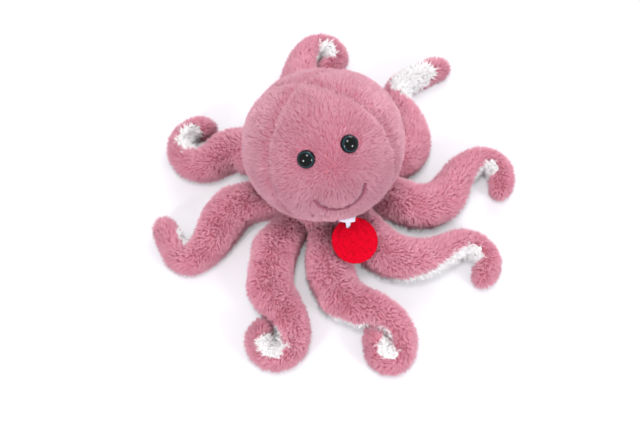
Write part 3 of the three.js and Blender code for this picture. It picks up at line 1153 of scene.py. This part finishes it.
@dataclass
class Dresser:
    """Puts finished pieces on their bodies and keeps count of them."""

    wadding: bpy.types.Material
    rounding: int = 1
    count: int = 0

    def wear(
        self, piece: bpy.types.Object, body: str, slot: Slot, *nodes: str, fill: float = 0.0
    ) -> None:
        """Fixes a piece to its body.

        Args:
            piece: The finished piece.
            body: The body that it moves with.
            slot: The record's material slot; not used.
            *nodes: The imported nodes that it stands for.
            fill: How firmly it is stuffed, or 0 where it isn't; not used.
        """
        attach(piece, body)
        if nodes:
            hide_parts(*nodes)
        self.count += 1
        log.info("%s on %s, %d faces", piece.name, body, len(piece.data.polygons))

    def plant(
        self, bed: bmesh.types.BMesh, nap_at: NapAt, name: str, body: str, plush: Plush
    ) -> None:
        """Grows the pile of a piece of cloth.

        Args:
            bed: The cloth, which is used up.
            nap_at: Gives the nap at a vertex.
            name: The pile's name.
            body: The body that it moves with.
            plush: The fabric.
        """
        lay_nap(bed, nap_at)
        self.wear(plush.pile.grow(bed, name), body, plush.slot)

    def sew(
        self, panels: Panels, node: str, nap_at: NapAt, body: str, plush: Plush, fill: float
    ) -> None:
        """Makes one sewn panel: its pile, and the cloth with its thickness inward.

        Args:
            panels: The form's panels.
            node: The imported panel.
            nap_at: Gives the nap at a vertex.
            body: The body that it moves with.
            plush: The fabric.
            fill: How firmly it is stuffed.
        """
        name = node.replace("_panel", "")
        self.plant(panels.cut(node), nap_at, f"{name}_pile", body, plush)
        shell = to_object(f"{name}_cloth", panels.cut(node), plush.cloth)
        solid = shell.modifiers.new("thickness", "SOLIDIFY")
        solid.thickness = plush.thickness
        solid.offset = -1.0
        self.wear(shell, body, plush.slot, node, fill=fill)

    def stuff(self, node: str, body: str, fill: float) -> None:
        """Makes the rounded stuffing inside a cloth form.

        Args:
            node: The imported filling.
            body: The body that it moves with.
            fill: How firmly it is stuffed.
        """
        piece = to_object(node.replace("filling", "stuffing"), merged_copy(node), self.wadding)
        rounding = piece.modifiers.new("rounding", "SUBSURF")
        rounding.levels = rounding.render_levels = self.rounding
        self.wear(piece, body, Slot.STUFFING, node, fill=fill)


@dataclass
class Eye:
    """A glossy button eye with its lock washer inside the head."""

    side: str
    head_middle: Vector
    radius: float = 6.6 * MM
    back_share: float = 0.9
    rim: float = 1.5 * MM
    dome: float = 4.6 * MM
    back: float = 1.2 * MM
    proud: float = 0.4 * MM
    stem_end: float = 4 * MM
    near: float = 3.0
    steps: int = 48
    dome_steps: int = 12

    def __post_init__(self) -> None:
        """Finds the eye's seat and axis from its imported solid."""
        bm = merged_copy(f"eye_{self.side}")
        by_reach = sorted(bm.verts, key=lambda vert: (vert.co - self.head_middle).length)
        inner, tip = by_reach[0].co, by_reach[-1].co.copy()
        foot = middle_of([v.co for v in by_reach if (v.co - inner).length < self.stem_end])
        bm.free()
        self.axis = (tip - foot).normalized()
        self.seat = tip - self.axis * (self.rim + self.dome - self.proud)

    def profile(self) -> list[Vector]:
        """Draws the button's outline from the middle of its back to the top of its dome.

        Returns:
            The outline's points, in the plane of X and Z.
        """
        points = [Vector((0, 0, -self.back))]
        points.append(Vector((self.radius * self.back_share, 0, -self.back)))
        points.append(Vector((self.radius, 0, 0)))
        for step in range(self.dome_steps + 1):
            angle = math.pi / 2 * step / self.dome_steps
            across = self.radius * math.cos(angle)
            points.append(Vector((across, 0, self.rim + self.dome * math.sin(angle))))
        points[-1].x = 0.0
        return points

    def build(self, material: bpy.types.Material) -> bpy.types.Object:
        """Turns the button and sets it in its seat.

        Args:
            material: The button's gloss.

        Returns:
            The button.
        """
        bm = bmesh.new()
        verts = [bm.verts.new(point) for point in self.profile()]
        edges = [bm.edges.new(pair) for pair in zip(verts, verts[1:])]
        bmesh.ops.spin(
            bm, geom=verts + edges, cent=(0, 0, 0), axis=UP, angle=2 * math.pi,
            steps=self.steps, use_merge=True, use_duplicate=False,
        )
        bmesh.ops.remove_doubles(bm, verts=bm.verts, dist=WELD)
        bmesh.ops.recalc_face_normals(bm, faces=bm.faces)
        uv = bm.loops.layers.uv.new(BAKE_MAP)
        for face in bm.faces:
            centre = face.calc_center_median()
            turn = math.atan2(centre.y, centre.x) / (2 * math.pi)
            for loop in face.loops:
                loop[uv].uv = (turn % 1.0, min(1.0, loop.vert.co.xy.length / self.radius))
        bmesh.ops.transform(bm, matrix=stood(self.seat, self.axis), verts=bm.verts)
        return to_object(f"eye_{self.side}_button", bm, material)

    def aside(self, point: Vector) -> float:
        """Measures how far a point lies from the eye's axis.

        Args:
            point: The point.

        Returns:
            The distance, or infinity far from the eye.
        """
        run = point - self.seat
        if run.length > self.near * self.radius:
            return math.inf
        return (run - self.axis * run.dot(self.axis)).length


@dataclass
class Mouth:
    """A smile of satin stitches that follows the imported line."""

    head_middle: Vector
    node: str = "mouth_embroidery"
    stitch: float = 0.95 * MM
    half_width: float = 1.4 * MM
    half_length: float = 0.62 * MM
    height_share: float = 0.8
    stitch_sides: tuple[int, int] = (8, 6)
    lift: float = 1.5 * MM
    bins: int = 26
    end_share: float = 0.7
    pivot_rise: float = 10 * MM

    def __post_init__(self) -> None:
        """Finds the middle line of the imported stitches."""
        bm = merged_copy(self.node)
        points = [vert.co.copy() for vert in bm.verts]
        bm.free()
        mean = middle_of(points)
        out = (mean - self.head_middle).normalized()
        farthest = max(points, key=lambda point: (point - mean).length) - mean
        across = (farthest - out * farthest.dot(out)).normalized()
        rise = out.cross(across)
        limit = self.end_share * farthest.length
        ends = [point for point in points if (point - mean).length > limit]
        if (middle_of(ends) - mean).dot(rise) < 0:
            rise = -rise
        pivot = mean + rise * self.pivot_rise
        turns = [math.atan2((p - pivot).dot(across), -(p - pivot).dot(rise)) for p in points]
        low, high = min(turns), max(turns)
        held = [[] for _ in range(self.bins)]
        for point, turn in zip(points, turns):
            share = (turn - low) / (high - low)
            held[min(self.bins - 1, int(share * self.bins))].append(point)
        self.line = [middle_of(found) for found in held if found]

    def settle(self, form: bmesh.types.BMesh) -> None:
        """Lays the line on the stuffed form, just over its cloth.

        Args:
            form: The stuffed head.
        """
        tree = BVHTree.FromBMesh(form)
        for index, place in enumerate(self.line):
            out = (place - self.head_middle).normalized()
            self.line[index] = tree.ray_cast(self.head_middle, out)[0] + out * self.lift

    def stations(self) -> list[tuple[Vector, Vector]]:
        """Walks along the line from stitch to stitch.

        Returns:
            Evenly spaced points of the line with the way it runs there.
        """
        spots = []
        carried = 0.0
        for start, end in zip(self.line, self.line[1:]):
            run = end - start
            while carried < run.length:
                spots.append((start + run * (carried / run.length), run.normalized()))
                carried += self.stitch
            carried -= run.length
        return spots

    def build(self, material: bpy.types.Material) -> bpy.types.Object:
        """Sets the row of stitches.

        Args:
            material: The thread.

        Returns:
            The stitches.
        """
        bm = bmesh.new()
        height = self.height_share * self.half_width
        size = Matrix.Diagonal((self.half_length, self.half_width, height, 1))
        round_sides, tall_sides = self.stitch_sides
        for place, along in self.stations():
            out = (place - self.head_middle).normalized()
            side = out.cross(along).normalized()
            bmesh.ops.create_uvsphere(
                bm, u_segments=round_sides, v_segments=tall_sides, radius=1.0,
                matrix=seated(place, along, side, out) @ size,
            )
        return to_object("mouth_stitches", bm, material)


@dataclass
class Head:
    """The round head: four sewn gores, their pile, the stuffing, the eyes and the mouth."""

    gores: Sequence[str] = (
        "head_face_panel", "head_right_panel", "head_back_panel", "head_left_panel"
    )
    filling: str = "head_filling"
    stuffed: StuffedForm = StuffedForm(
        gores, filling, filling_swell=3.6 * MM, voxel=3 * MM, smoothing=24, plump=1.3 * MM
    )
    fill: float = 0.9
    seam_depth: float = 3.4 * MM
    seam_width: float = 3.0 * MM
    seam_shadow: float = 4 * MM
    seam_cut: float = 0.62
    # Painted shade: the pile's tone is deepened along the seams, where the grooves fall in shade.
    seam_painted_shade: float = 2.6
    seam_part: float = 0.9
    seam_clear: float = 1.1 * MM
    seam_fade: tuple[float, float] = (58 * MM, 84 * MM)
    round_eyes: Clearing = Clearing(bare=6.3 * MM, ring=10 * MM, least=0.45)
    round_mouth: Clearing = Clearing(bare=1.5 * MM, ring=4.5 * MM, least=0.4)
    neck_clear: float = 27 * MM
    neck_height: float = 40 * MM
    nose_drop: float = 0.3
    nose_reach: float = 12 * MM
    cheek_swell: float = 3.4 * MM
    crown_swell: float = 2.4 * MM
    dimple: float = 22 * MM
    # Painted shade: the tone is deepened round the brow, out to brow_reach, where the face looks
    # into its pile.
    brow_painted_shade: float = 0.65
    brow_reach: float = 46 * MM

    def __post_init__(self) -> None:
        """Finds the eyes, the mouth, the brow and the nose, and makes the form with its panels."""
        middle = Vector(joint_of("head")["pos_m"])
        self.eyes = [Eye("right", middle), Eye("left", middle)]
        self.mouth = Mouth(middle)
        self.stitches = nearness(self.mouth.line)
        seat = self.eyes[0].seat
        # The brow is the middle of the painted shade on the face.
        self.brow = (seat + self.eyes[1].seat) / 2
        between = self.brow.lerp(middle_of(self.mouth.line), self.nose_drop)
        self.nose = middle + (between - middle).normalized() * (seat - middle).length
        form = self.stuffed.build()
        self.fill_out(form)
        self.panels = Panels(
            form, self.gores, self.seam_depth, self.seam_width, tightness=self.tightness
        )
        self.mouth.settle(form)
        self.stitches = nearness(self.mouth.line)

    def build(self, dresser: Dresser, plush: Plush) -> None:
        """Builds and dresses the head.

        Args:
            dresser: Takes the finished pieces.
            plush: The fabric of the face.
        """
        for gore in self.gores:
            dresser.sew(self.panels, gore, self.nap, "head", plush, self.fill)
        dresser.stuff(self.filling, "head", self.fill)
        gloss, thread, washer = BUTTON_EYE.build(), MAUVE_THREAD.build(), WHITE_PLASTIC.build()
        for eye in self.eyes:
            dresser.wear(eye.build(gloss), "head", Slot.EYE, f"eye_{eye.side}")
            paint_node(f"eye_washer_{eye.side}", washer)
        dresser.wear(self.mouth.build(thread), "head", Slot.THREAD, self.mouth.node)
        self.panels.form.free()

    def tightness(self, point: Vector) -> float:
        """Returns how tightly the seams are drawn in: they fade below the cheeks."""
        return ease(point.z, *self.seam_fade)

    def fill_out(self, form: bmesh.types.BMesh) -> None:
        """Swells the cheeks and the crown, and leaves dimples round the eyes and the mouth.

        Args:
            form: The stuffed head, which is changed.
        """
        for vert in form.verts:
            gap = min(eye.aside(vert.co) for eye in self.eyes)
            gap = min(gap, self.stitches.find(vert.co)[2])
            cheek = self.cheek_swell * abs(vert.normal.x)
            swell = cheek + self.crown_swell * max(0.0, vert.normal.y)
            vert.co += vert.normal * swell * ease(gap, 0.0, self.dimple)
        form.normal_update()

    def nap(self, vert: bmesh.types.BMVert) -> Nap:
        """Lays the pile: combed out from the nose, short at seams, eyes and mouth, with painted
        shade along the seams and round the brow.

        Args:
            vert: A vertex of the bed.

        Returns:
            How the pile lies there.
        """
        point = vert.co
        away = point - self.nose
        away -= vert.normal * away.dot(vert.normal)
        comb = away.normalized() * ease(away.length, 0.0, self.nose_reach)
        seam, _, to_seam = self.panels.seams.find(point)
        tight = self.tightness(point)
        drawn = tight * (1 - ease(to_seam, 0.0, self.seam_shadow))
        comb += (point - seam).normalized() * self.seam_part * drawn
        short = 1 - self.seam_cut * drawn
        bare = to_seam < self.seam_clear * tight
        gaps = [(eye.aside(point), self.round_eyes) for eye in self.eyes]
        gaps.append((self.stitches.find(point)[2], self.round_mouth))
        for gap, clearing in gaps:
            bare = bare or gap < clearing.bare
            short *= clearing.length(gap)
        if point.xy.length < self.neck_clear and point.z < self.neck_height:
            bare = True
        # Painted shade: the tone is deepened round the brow and along the seams.
        painted_brow_shade = self.brow_painted_shade * ease(1 - (point - self.brow).length / self.brow_reach)
        return Nap(0.0 if bare else 1.0, short, comb, self.seam_painted_shade * drawn + painted_brow_shade)


@dataclass
class Body:
    """The cloth cone under the head, with its base panel and stuffing."""

    arm_trees: Sequence[BVHTree]
    skin: str = "body_skin"
    base: str = "body_base_panel"
    filling: str = "body_filling"
    stuffed: StuffedForm = StuffedForm(
        (skin,), filling, filling_swell=1.2 * MM, smoothing=5, plump=0.2 * MM
    )
    fill: float = 0.8
    edge_width: float = 0.4 * MM
    edge_steps: int = 2
    foot: float = 1.5 * MM
    neck: float = 22 * MM
    seat_clear: float = 2.5 * MM
    short: float = 0.9
    lift: float = 0.12

    def build(self, dresser: Dresser, plush: Plush) -> None:
        """Builds and dresses the body.

        Args:
            dresser: Takes the finished pieces.
            plush: The fabric of the arms' backs.
        """
        form = self.stuffed.build()
        dresser.plant(form.copy(), self.nap, "body_pile", "body", plush)
        shell = to_object("body_cloth", form, plush.cloth)
        dresser.wear(shell, "body", plush.slot, self.skin, fill=self.fill)
        base = to_object("body_base_cloth", merged_copy(self.base), plush.cloth)
        edge = base.modifiers.new("edge", "BEVEL")
        edge.width = self.edge_width
        edge.segments = self.edge_steps
        dresser.wear(base, "body", plush.slot, self.base)
        dresser.stuff(self.filling, "body", self.fill)

    def nap(self, vert: bmesh.types.BMVert) -> Nap:
        """Lays the pile: none under the foot, in the arm seats or under the head.

        Args:
            vert: A vertex of the bed.

        Returns:
            How the pile lies there.
        """
        hidden = vert.co.z < self.foot or vert.co.xy.length < self.neck
        gap = min(tree.find_nearest(vert.co)[3] for tree in self.arm_trees)
        cover = 0.0 if hidden or gap < self.seat_clear else 1.0
        return Nap(cover, self.short, UP * self.lift)


@dataclass(frozen=True)
class Lap:
    """How far the pink pile of an arm laps over the edge of its white sole."""

    low: float = 3.6 * MM
    stem: float = 5.5 * MM
    curl: float = -2.0 * MM
    tip: float = 4.0 * MM
    tip_reach: float = 11 * MM
    low_band: tuple[float, float] = (13 * MM, 6 * MM)
    curl_start: tuple[float, float] = (0.58, 0.72)

    def at(self, share: float, height: float, to_tip: float) -> float:
        """Finds the lap at a point of the arm.

        Args:
            share: How far along the arm the point lies.
            height: How far it lies above the ground.
            to_tip: Its distance from the arm's tip.

        Returns:
            The lap, below 0 where the white sole comes out over the pink.
        """
        upper = mix(self.stem, self.curl, ease(share, *self.curl_start))
        lapped = mix(upper, self.low, ease(height, *self.low_band))
        return lapped + self.tip * ease(1 - to_tip / self.tip_reach)


LAPS = (
    Lap(),
    Lap(curl=-5 * MM, tip=10 * MM, tip_reach=26 * MM),
    Lap(low=2.0 * MM, curl=0.0 * MM, tip=6 * MM, tip_reach=16 * MM),
    Lap(low=-1.5 * MM, stem=3.5 * MM, curl=1.0 * MM, tip=8 * MM, tip_reach=20 * MM),
    Lap(low=-0.5 * MM, stem=4.5 * MM, curl=-4 * MM),
    Lap(curl=-4 * MM),
    Lap(curl=1.0 * MM),
    Lap(curl=-3 * MM),
)


@dataclass
class Arm:
    """One curled arm: a pink back and a white sole sewn round its stuffing."""

    number: int
    lap: Lap
    filling_swell: float = 4.4 * MM
    fill: float = 0.8
    seam_depth: float = 0.5 * MM
    seam_width: float = 2.2 * MM
    seam_shadow: float = 2 * MM
    seam_short: float = 0.8
    hidden_reach: float = 33 * MM
    floor_band: float = 1.5 * MM
    floor_slope: float = -0.6
    floor_cover: float = 0.3
    stroke: float = 0.55
    droop: float = 0.1
    rings_ahead: int = 2

    def __post_init__(self) -> None:
        """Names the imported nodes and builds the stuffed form."""
        self.name = f"arm_{self.number}"
        self.sides = (f"{self.name}_back", f"{self.name}_sole")
        self.filling = f"{self.name}_filling"
        form = StuffedForm(self.sides, self.filling, self.filling_swell).build()
        self.measure()
        self.panels = Panels(
            form, self.sides, self.seam_depth, self.seam_width, handicap=self.overlap
        )
        self.tree = BVHTree.FromBMesh(form)

    def measure(self) -> None:
        """Counts the rings of the stuffing from the body out, to tell how far along a point is."""
        bm = merged_copy(self.filling)
        root = min(bm.verts, key=lambda vert: vert.co.xy.length)
        rings = {root: 0}
        front = [root]
        while front:
            near = [edge.other_vert(vert) for vert in front for edge in vert.link_edges]
            reached = {vert: rings[front[0]] + 1 for vert in near if vert not in rings}
            rings.update(reached)
            front = list(reached)
        self.rings = [rings[vert] for vert in bm.verts]
        self.last = max(self.rings)
        self.middles = [
            middle_of([vert.co for vert in bm.verts if rings[vert] == ring])
            for ring in range(self.last + 1)
        ]
        self.spine = nearness(vert.co.copy() for vert in bm.verts)
        self.tip = max(bm.verts, key=lambda vert: rings[vert]).co.copy()
        bm.free()

    def ring_at(self, point: Vector) -> int:
        """Returns the number of the stuffing's ring next to a point."""
        return self.rings[self.spine.find(point)[1]]

    def overlap(self, centre: Vector) -> float:
        """Returns how far the pink pile laps over the white edge at a point."""
        share = self.ring_at(centre) / self.last
        return self.lap.at(share, centre.z, (centre - self.tip).length)

    def along(self, point: Vector) -> Vector:
        """Finds the way in which the arm runs.

        Args:
            point: A point of the arm.

        Returns:
            The way, one unit long.
        """
        ring = self.ring_at(point)
        ahead = self.middles[min(ring + self.rings_ahead, self.last)]
        return (ahead - self.middles[max(ring - self.rings_ahead, 0)]).normalized()

    def nap(self, vert: bmesh.types.BMVert) -> Nap:
        """Lays the pile: thin on the ground and none inside the body's seat.

        Args:
            vert: A vertex of the bed.

        Returns:
            How the pile lies there.
        """
        if vert.co.xy.length < self.hidden_reach:
            return Nap(cover=0.0)
        pressed = vert.co.z < self.floor_band and vert.normal.z < self.floor_slope
        cover = self.floor_cover if pressed else 1.0
        gap = self.panels.to_seam(vert.co)
        short = mix(self.seam_short, 1.0, ease(gap, 0.0, self.seam_shadow))
        return Nap(cover, short, self.along(vert.co) * self.stroke - self.droop * UP)

    def build(self, dresser: Dresser, plushes: Sequence[Plush]) -> None:
        """Builds and dresses the arm.

        Args:
            dresser: Takes the finished pieces.
            plushes: The fabrics of the back and of the sole.
        """
        for node, plush in zip(self.sides, plushes):
            dresser.sew(self.panels, node, self.nap, self.name, plush, self.fill)
        dresser.stuff(self.filling, self.name, self.fill)
        self.panels.form.free()


@dataclass(frozen=True)
class Ribbon:
    """A run of ribbon: where its knot lies, how it turns and the folds that it passes.

    The knot lies out and up from the tag's hole. Each fold says how far along the run it lies, how
    far to the right as a share of the spread, and how far out and up in millimetres.
    """

    name: str
    knot: tuple[float, float]
    folds: Sequence[tuple[float, float, float, float]]
    face_out: float = 0.0
    twist: float = 0.0


BUNCH = Ribbon(
    "tag_ribbon_loop", knot=(-5.0, 5.0), face_out=0.5,
    folds=(
        (0.0, -0.6, -1.0, 0.0),
        (0.5, -0.95, 0.0, 1.0),
        (1.0, -0.9, 0.0, 1.6),
        (1.0, -0.3, 1.2, 2.2),
        (1.0, 0.3, 1.2, 2.0),
        (1.0, 0.9, 0.0, 1.4),
        (0.5, 0.95, 0.0, 0.6),
        (0.0, 0.6, -1.0, 0.0),
    ),
)
STEM = Ribbon(
    "tag_ribbon_stem", knot=(-6.0, 6.5), twist=math.radians(12),
    folds=(
        (0.0, 0.0, -1.5, 0.0),
        (0.0, 0.0, 1.5, 1.0),
        (0.6, 0.0, 0.0, 2.4),
        (1.0, 0.0, 0.0, 1.6),
        (1.0, 0.0, 0.0, -0.4),
        (1.0, 0.0, -1.2, -1.8),
    ),
)


@dataclass
class Tag:
    """The bare felt swing tag and its bunched ribbon."""

    disc: str = "tag_disc"
    loop: str = "tag_loop"
    rim_share: float = 0.93
    ribbon_width: float = 4.6 * MM
    ribbon_thickness: float = 1.3 * MM
    ribbon_sides: int = 10
    pinch: float = 0.1
    spread: float = 6.5 * MM
    steps: int = 7

    def __post_init__(self) -> None:
        """Finds the tag's face, its hole, its seam and the way out from the neck."""
        joint = joint_of("tag")
        self.seam = Vector(joint["pos_m"])
        across = Vector(joint["axis"]).normalized()
        low, high = (Vector(corner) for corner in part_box(self.disc))
        middle = (low + high) / 2
        bm = merged_copy(self.disc)
        flat = max(bm.faces, key=lambda face: face.calc_area())
        self.up = flat.normal.copy() if flat.normal.z > 0 else -flat.normal
        limit = self.rim_share * max((vert.co - middle).length for vert in bm.verts)
        self.hole = middle_of([v.co for v in bm.verts if (v.co - middle).length < limit])
        bm.free()
        self.out = across.cross(self.up).normalized()
        if self.out.dot(middle - self.seam) < 0:
            self.out = -self.out

    def build(self, dresser: Dresser, fuzz: Plush) -> None:
        """Dresses the tag.

        Args:
            dresser: Takes the finished pieces.
            fuzz: The felt with its loose fibres.
        """
        paint_node(self.disc, fuzz.cloth)
        bed = merged_copy(self.disc)
        bmesh.ops.triangulate(bed, faces=bed.faces)
        dresser.plant(bed, plain_nap, "tag_fuzz", "tag", fuzz)
        weave = WHITE_RIBBON.build()
        loop_knot, stem_knot = (self.outward(self.hole, *run.knot) for run in (BUNCH, STEM))
        loop = self.strip(BUNCH, self.seam, loop_knot, weave)
        dresser.wear(loop, "tag", Slot.RIBBON, self.loop)
        dresser.wear(self.strip(STEM, stem_knot, self.hole, weave), "tag", Slot.RIBBON)

    def outward(self, point: Vector, out: float, up: float) -> Vector:
        """Returns a point moved out and up by some millimetres."""
        return point + self.out * (out * MM) + self.up * (up * MM)

    def strip(
        self, run: Ribbon, start: Vector, end: Vector, weave: bpy.types.Material
    ) -> bpy.types.Object:
        """Sweeps a flat soft section along a run of ribbon.

        Args:
            run: The run.
            start: Where it starts.
            end: Where it ends.
            weave: The ribbon's material.

        Returns:
            The closed ribbon.
        """
        bm = bmesh.new()
        points = [
            self.outward(start.lerp(end, share) + RIGHT * (side * self.spread), out, up)
            for share, side, out, up in run.folds
        ]
        line = self.smooth_line(points)
        face = self.up + self.out * run.face_out
        rings = []
        for index, (place, along) in enumerate(line):
            share = index / (len(line) - 1)
            side = along.cross(face).normalized()
            flat = side.cross(along).normalized()
            lean = Matrix.Rotation(run.twist * share, 4, "Z")
            fold = 1 - self.pinch * math.sin(math.pi * share) ** 2
            size = Matrix.Diagonal((fold * self.ribbon_width / 2, self.ribbon_thickness / 2, 1, 1))
            ring = bmesh.ops.create_circle(
                bm, segments=self.ribbon_sides, radius=1.0,
                matrix=seated(place, side, flat, along) @ lean @ size,
            )["verts"]
            rings.append({edge for vert in ring for edge in vert.link_edges})
        for first, second in zip(rings, rings[1:]):
            bmesh.ops.bridge_loops(bm, edges=list(first | second))
        bmesh.ops.holes_fill(bm, edges=list(rings[0] | rings[-1]), sides=0)
        bmesh.ops.recalc_face_normals(bm, faces=bm.faces)
        return to_object(run.name, bm, weave)

    def smooth_line(self, points: Sequence[Vector]) -> list[tuple[Vector, Vector]]:
        """Draws a smooth line through points.

        Args:
            points: The points.

        Returns:
            Points along the line with the way it runs there.
        """
        ends = [points[0] * 2 - points[1], *points, points[-1] * 2 - points[-2]]
        found = [
            catmull(*four, step / self.steps)
            for four in zip(ends, ends[1:], ends[2:], ends[3:]) for step in range(self.steps)
        ]
        found.append(points[-1].copy())
        before, after = [found[0], *found[:-1]], [*found[1:], found[-1]]
        return [(mid, (b - a).normalized()) for mid, a, b in zip(found, before, after)]


# Studio


def aim(name: str, data: bpy.types.ID, place: Vector, way: Vector) -> bpy.types.Object:
    """Stands a lamp or a camera in the scene.

    Args:
        name: Its name.
        data: The lamp or the camera.
        place: Where it stands.
        way: Which way it looks.

    Returns:
        The object.
    """
    obj = link(name, data)
    obj.location = place
    obj.rotation_mode = "QUATERNION"
    obj.rotation_quaternion = way.to_track_quat("-Z", "Y")
    return obj


@dataclass(frozen=True)
class Lamp:
    """One soft square lamp over the table."""

    name: str
    place: Vector
    size: float
    watts: float
    colour: tuple[float, float, float] = (1.0, 1.0, 1.0)

    def build(self, target: Vector) -> None:
        """Hangs the lamp.

        Args:
            target: The point that it is turned to.
        """
        light = bpy.data.lights.new(self.name, "AREA")
        light.shape = "SQUARE"
        light.size = self.size
        light.energy = self.watts
        light.color = self.colour
        aim(self.name, light, self.place, target - self.place)


def shown_directly(graph: Graph) -> Socket:
    """Tells where the camera sees a place, also in a gloss or through something clear.

    Args:
        graph: The graph that asks.

    Returns:
        1 where it does, and otherwise 0.
    """
    seen = graph.add("ShaderNodeLightPath").outputs
    direct = graph.math("MAXIMUM", seen["Is Camera Ray"], seen["Is Glossy Ray"])
    return graph.math("MAXIMUM", direct, seen["Is Transmission Ray"])


@dataclass
class Studio:
    """A pale table, soft lamps and the photograph's camera."""

    target: Vector = Vector((0, -10 * MM, 0))
    elevation: float = 62.0
    distance: float = 740 * MM
    lens: float = 50.0
    floor_size: float = 8.0
    floor_colour: Colour = dye(208, 206, 213)
    floor_roughness: float = 0.9
    floor_gloss: float = 0.1
    world_strength: float = 0.87
    shadow_share: float = 0.75
    shadow_fade: tuple[float, float] = (0.15, 0.6)
    lamps: Sequence[Lamp] = (
        Lamp("key", Vector((-0.85, -1.05, 0.7)), size=0.3, watts=11.0),
        Lamp("fill", Vector((1.0, -0.85, 0.72)), size=0.3, watts=10.0),
        Lamp(
            "top", Vector((-0.05, -0.12, 1.4)), size=0.38, watts=10.0, colour=(1.0, 0.98, 0.95)
        ),
        Lamp("rear", Vector((0.45, 1.0, 0.95)), size=0.6, watts=9.0),
    )

    def build(self) -> None:
        """Sets up the floor, the light and the camera."""
        bpy.context.scene.view_settings.view_transform = "Standard"
        self.floor()
        self.sky()
        for lamp in self.lamps:
            lamp.build(self.target)
        self.camera()

    def floor(self) -> None:
        """Lays the pale table top, which glows white where no shadow falls."""
        bm = bmesh.new()
        bmesh.ops.create_grid(bm, x_segments=1, y_segments=1, size=self.floor_size)
        surface = Surface("table", self.floor_roughness, Specular_IOR_Level=self.floor_gloss)
        surface.paint(self.floor_colour)
        glow = surface.add("ShaderNodeEmission", {"Color": PLAIN_WHITE, "Strength": 1.0})
        reach = surface.add("ShaderNodeVectorMath", {0: surface.place()}, operation="LENGTH")
        start, end = self.shadow_fade
        fades = {0: reach.outputs["Value"], 1: start, 2: end, 3: 1.0 - self.shadow_share, 4: 1.0}
        fade = surface.add("ShaderNodeMapRange", fades).outputs[0]
        share = surface.math("MULTIPLY", shown_directly(surface), fade)
        both = {0: share, 1: surface.shader.outputs[0], 2: glow.outputs[0]}
        mixed = surface.add("ShaderNodeMixShader", both).outputs[0]
        surface.feed(surface.tree.nodes["Material Output"].inputs["Surface"], mixed)
        to_object("table", bm, surface.material)

    def sky(self) -> None:
        """Gives soft light all round, and a white ground where the sky is seen."""
        world = bpy.data.worlds.new("studio")
        world.use_nodes = True
        bpy.context.scene.world = world
        graph = Graph(world.node_tree)
        soft = self.world_strength
        strength = graph.math("MULTIPLY_ADD", shown_directly(graph), 1.0 - soft, soft)
        background = world.node_tree.nodes["Background"]
        background.inputs["Color"].default_value = PLAIN_WHITE
        graph.feed(background.inputs["Strength"], strength)

    def camera(self) -> None:
        """Stands the camera where the photograph was taken from."""
        tilt = math.radians(self.elevation)
        back = Vector((0, -math.cos(tilt), math.sin(tilt)))
        data = bpy.data.cameras.new("camera")
        data.lens = self.lens
        place = self.target + back * self.distance
        bpy.context.scene.camera = aim("camera", data, place, -back)


def main() -> None:
    """Builds the studio and the toy, piece by piece."""
    logging.basicConfig(level=logging.INFO, format="%(message)s")
    Studio().build()
    pink_cloth = PINK_CLOTH.build()
    face = Plush(Slot.FACE, Pile(FACE_CUT, FACE_PILE, seed=11), pink_cloth)
    pink = Plush(Slot.PINK, Pile(ARM_CUT, ARM_PILE, seed=23), pink_cloth)
    white = Plush(Slot.WHITE, Pile(SOLE_CUT, SOLE_PILE, seed=37), WHITE_CLOTH.build())
    felt = Plush(Slot.FELT, Pile(FELT_CUT, FELT_FUZZ, seed=41), RED_FELT.build())
    dresser = Dresser(WADDING.build())
    Head().build(dresser, face)
    arms = [Arm(number, lap) for number, lap in enumerate(LAPS, start=1)]
    Body([arm.tree for arm in arms]).build(dresser, pink)
    for arm in arms:
        arm.build(dresser, (pink, white))
    Tag().build(dresser, felt)
    for plush in (face, pink, white, felt):
        plush.pile.clear()
    log.info("%d pieces", dresser.count)


if __name__ == "__main__":
    main()
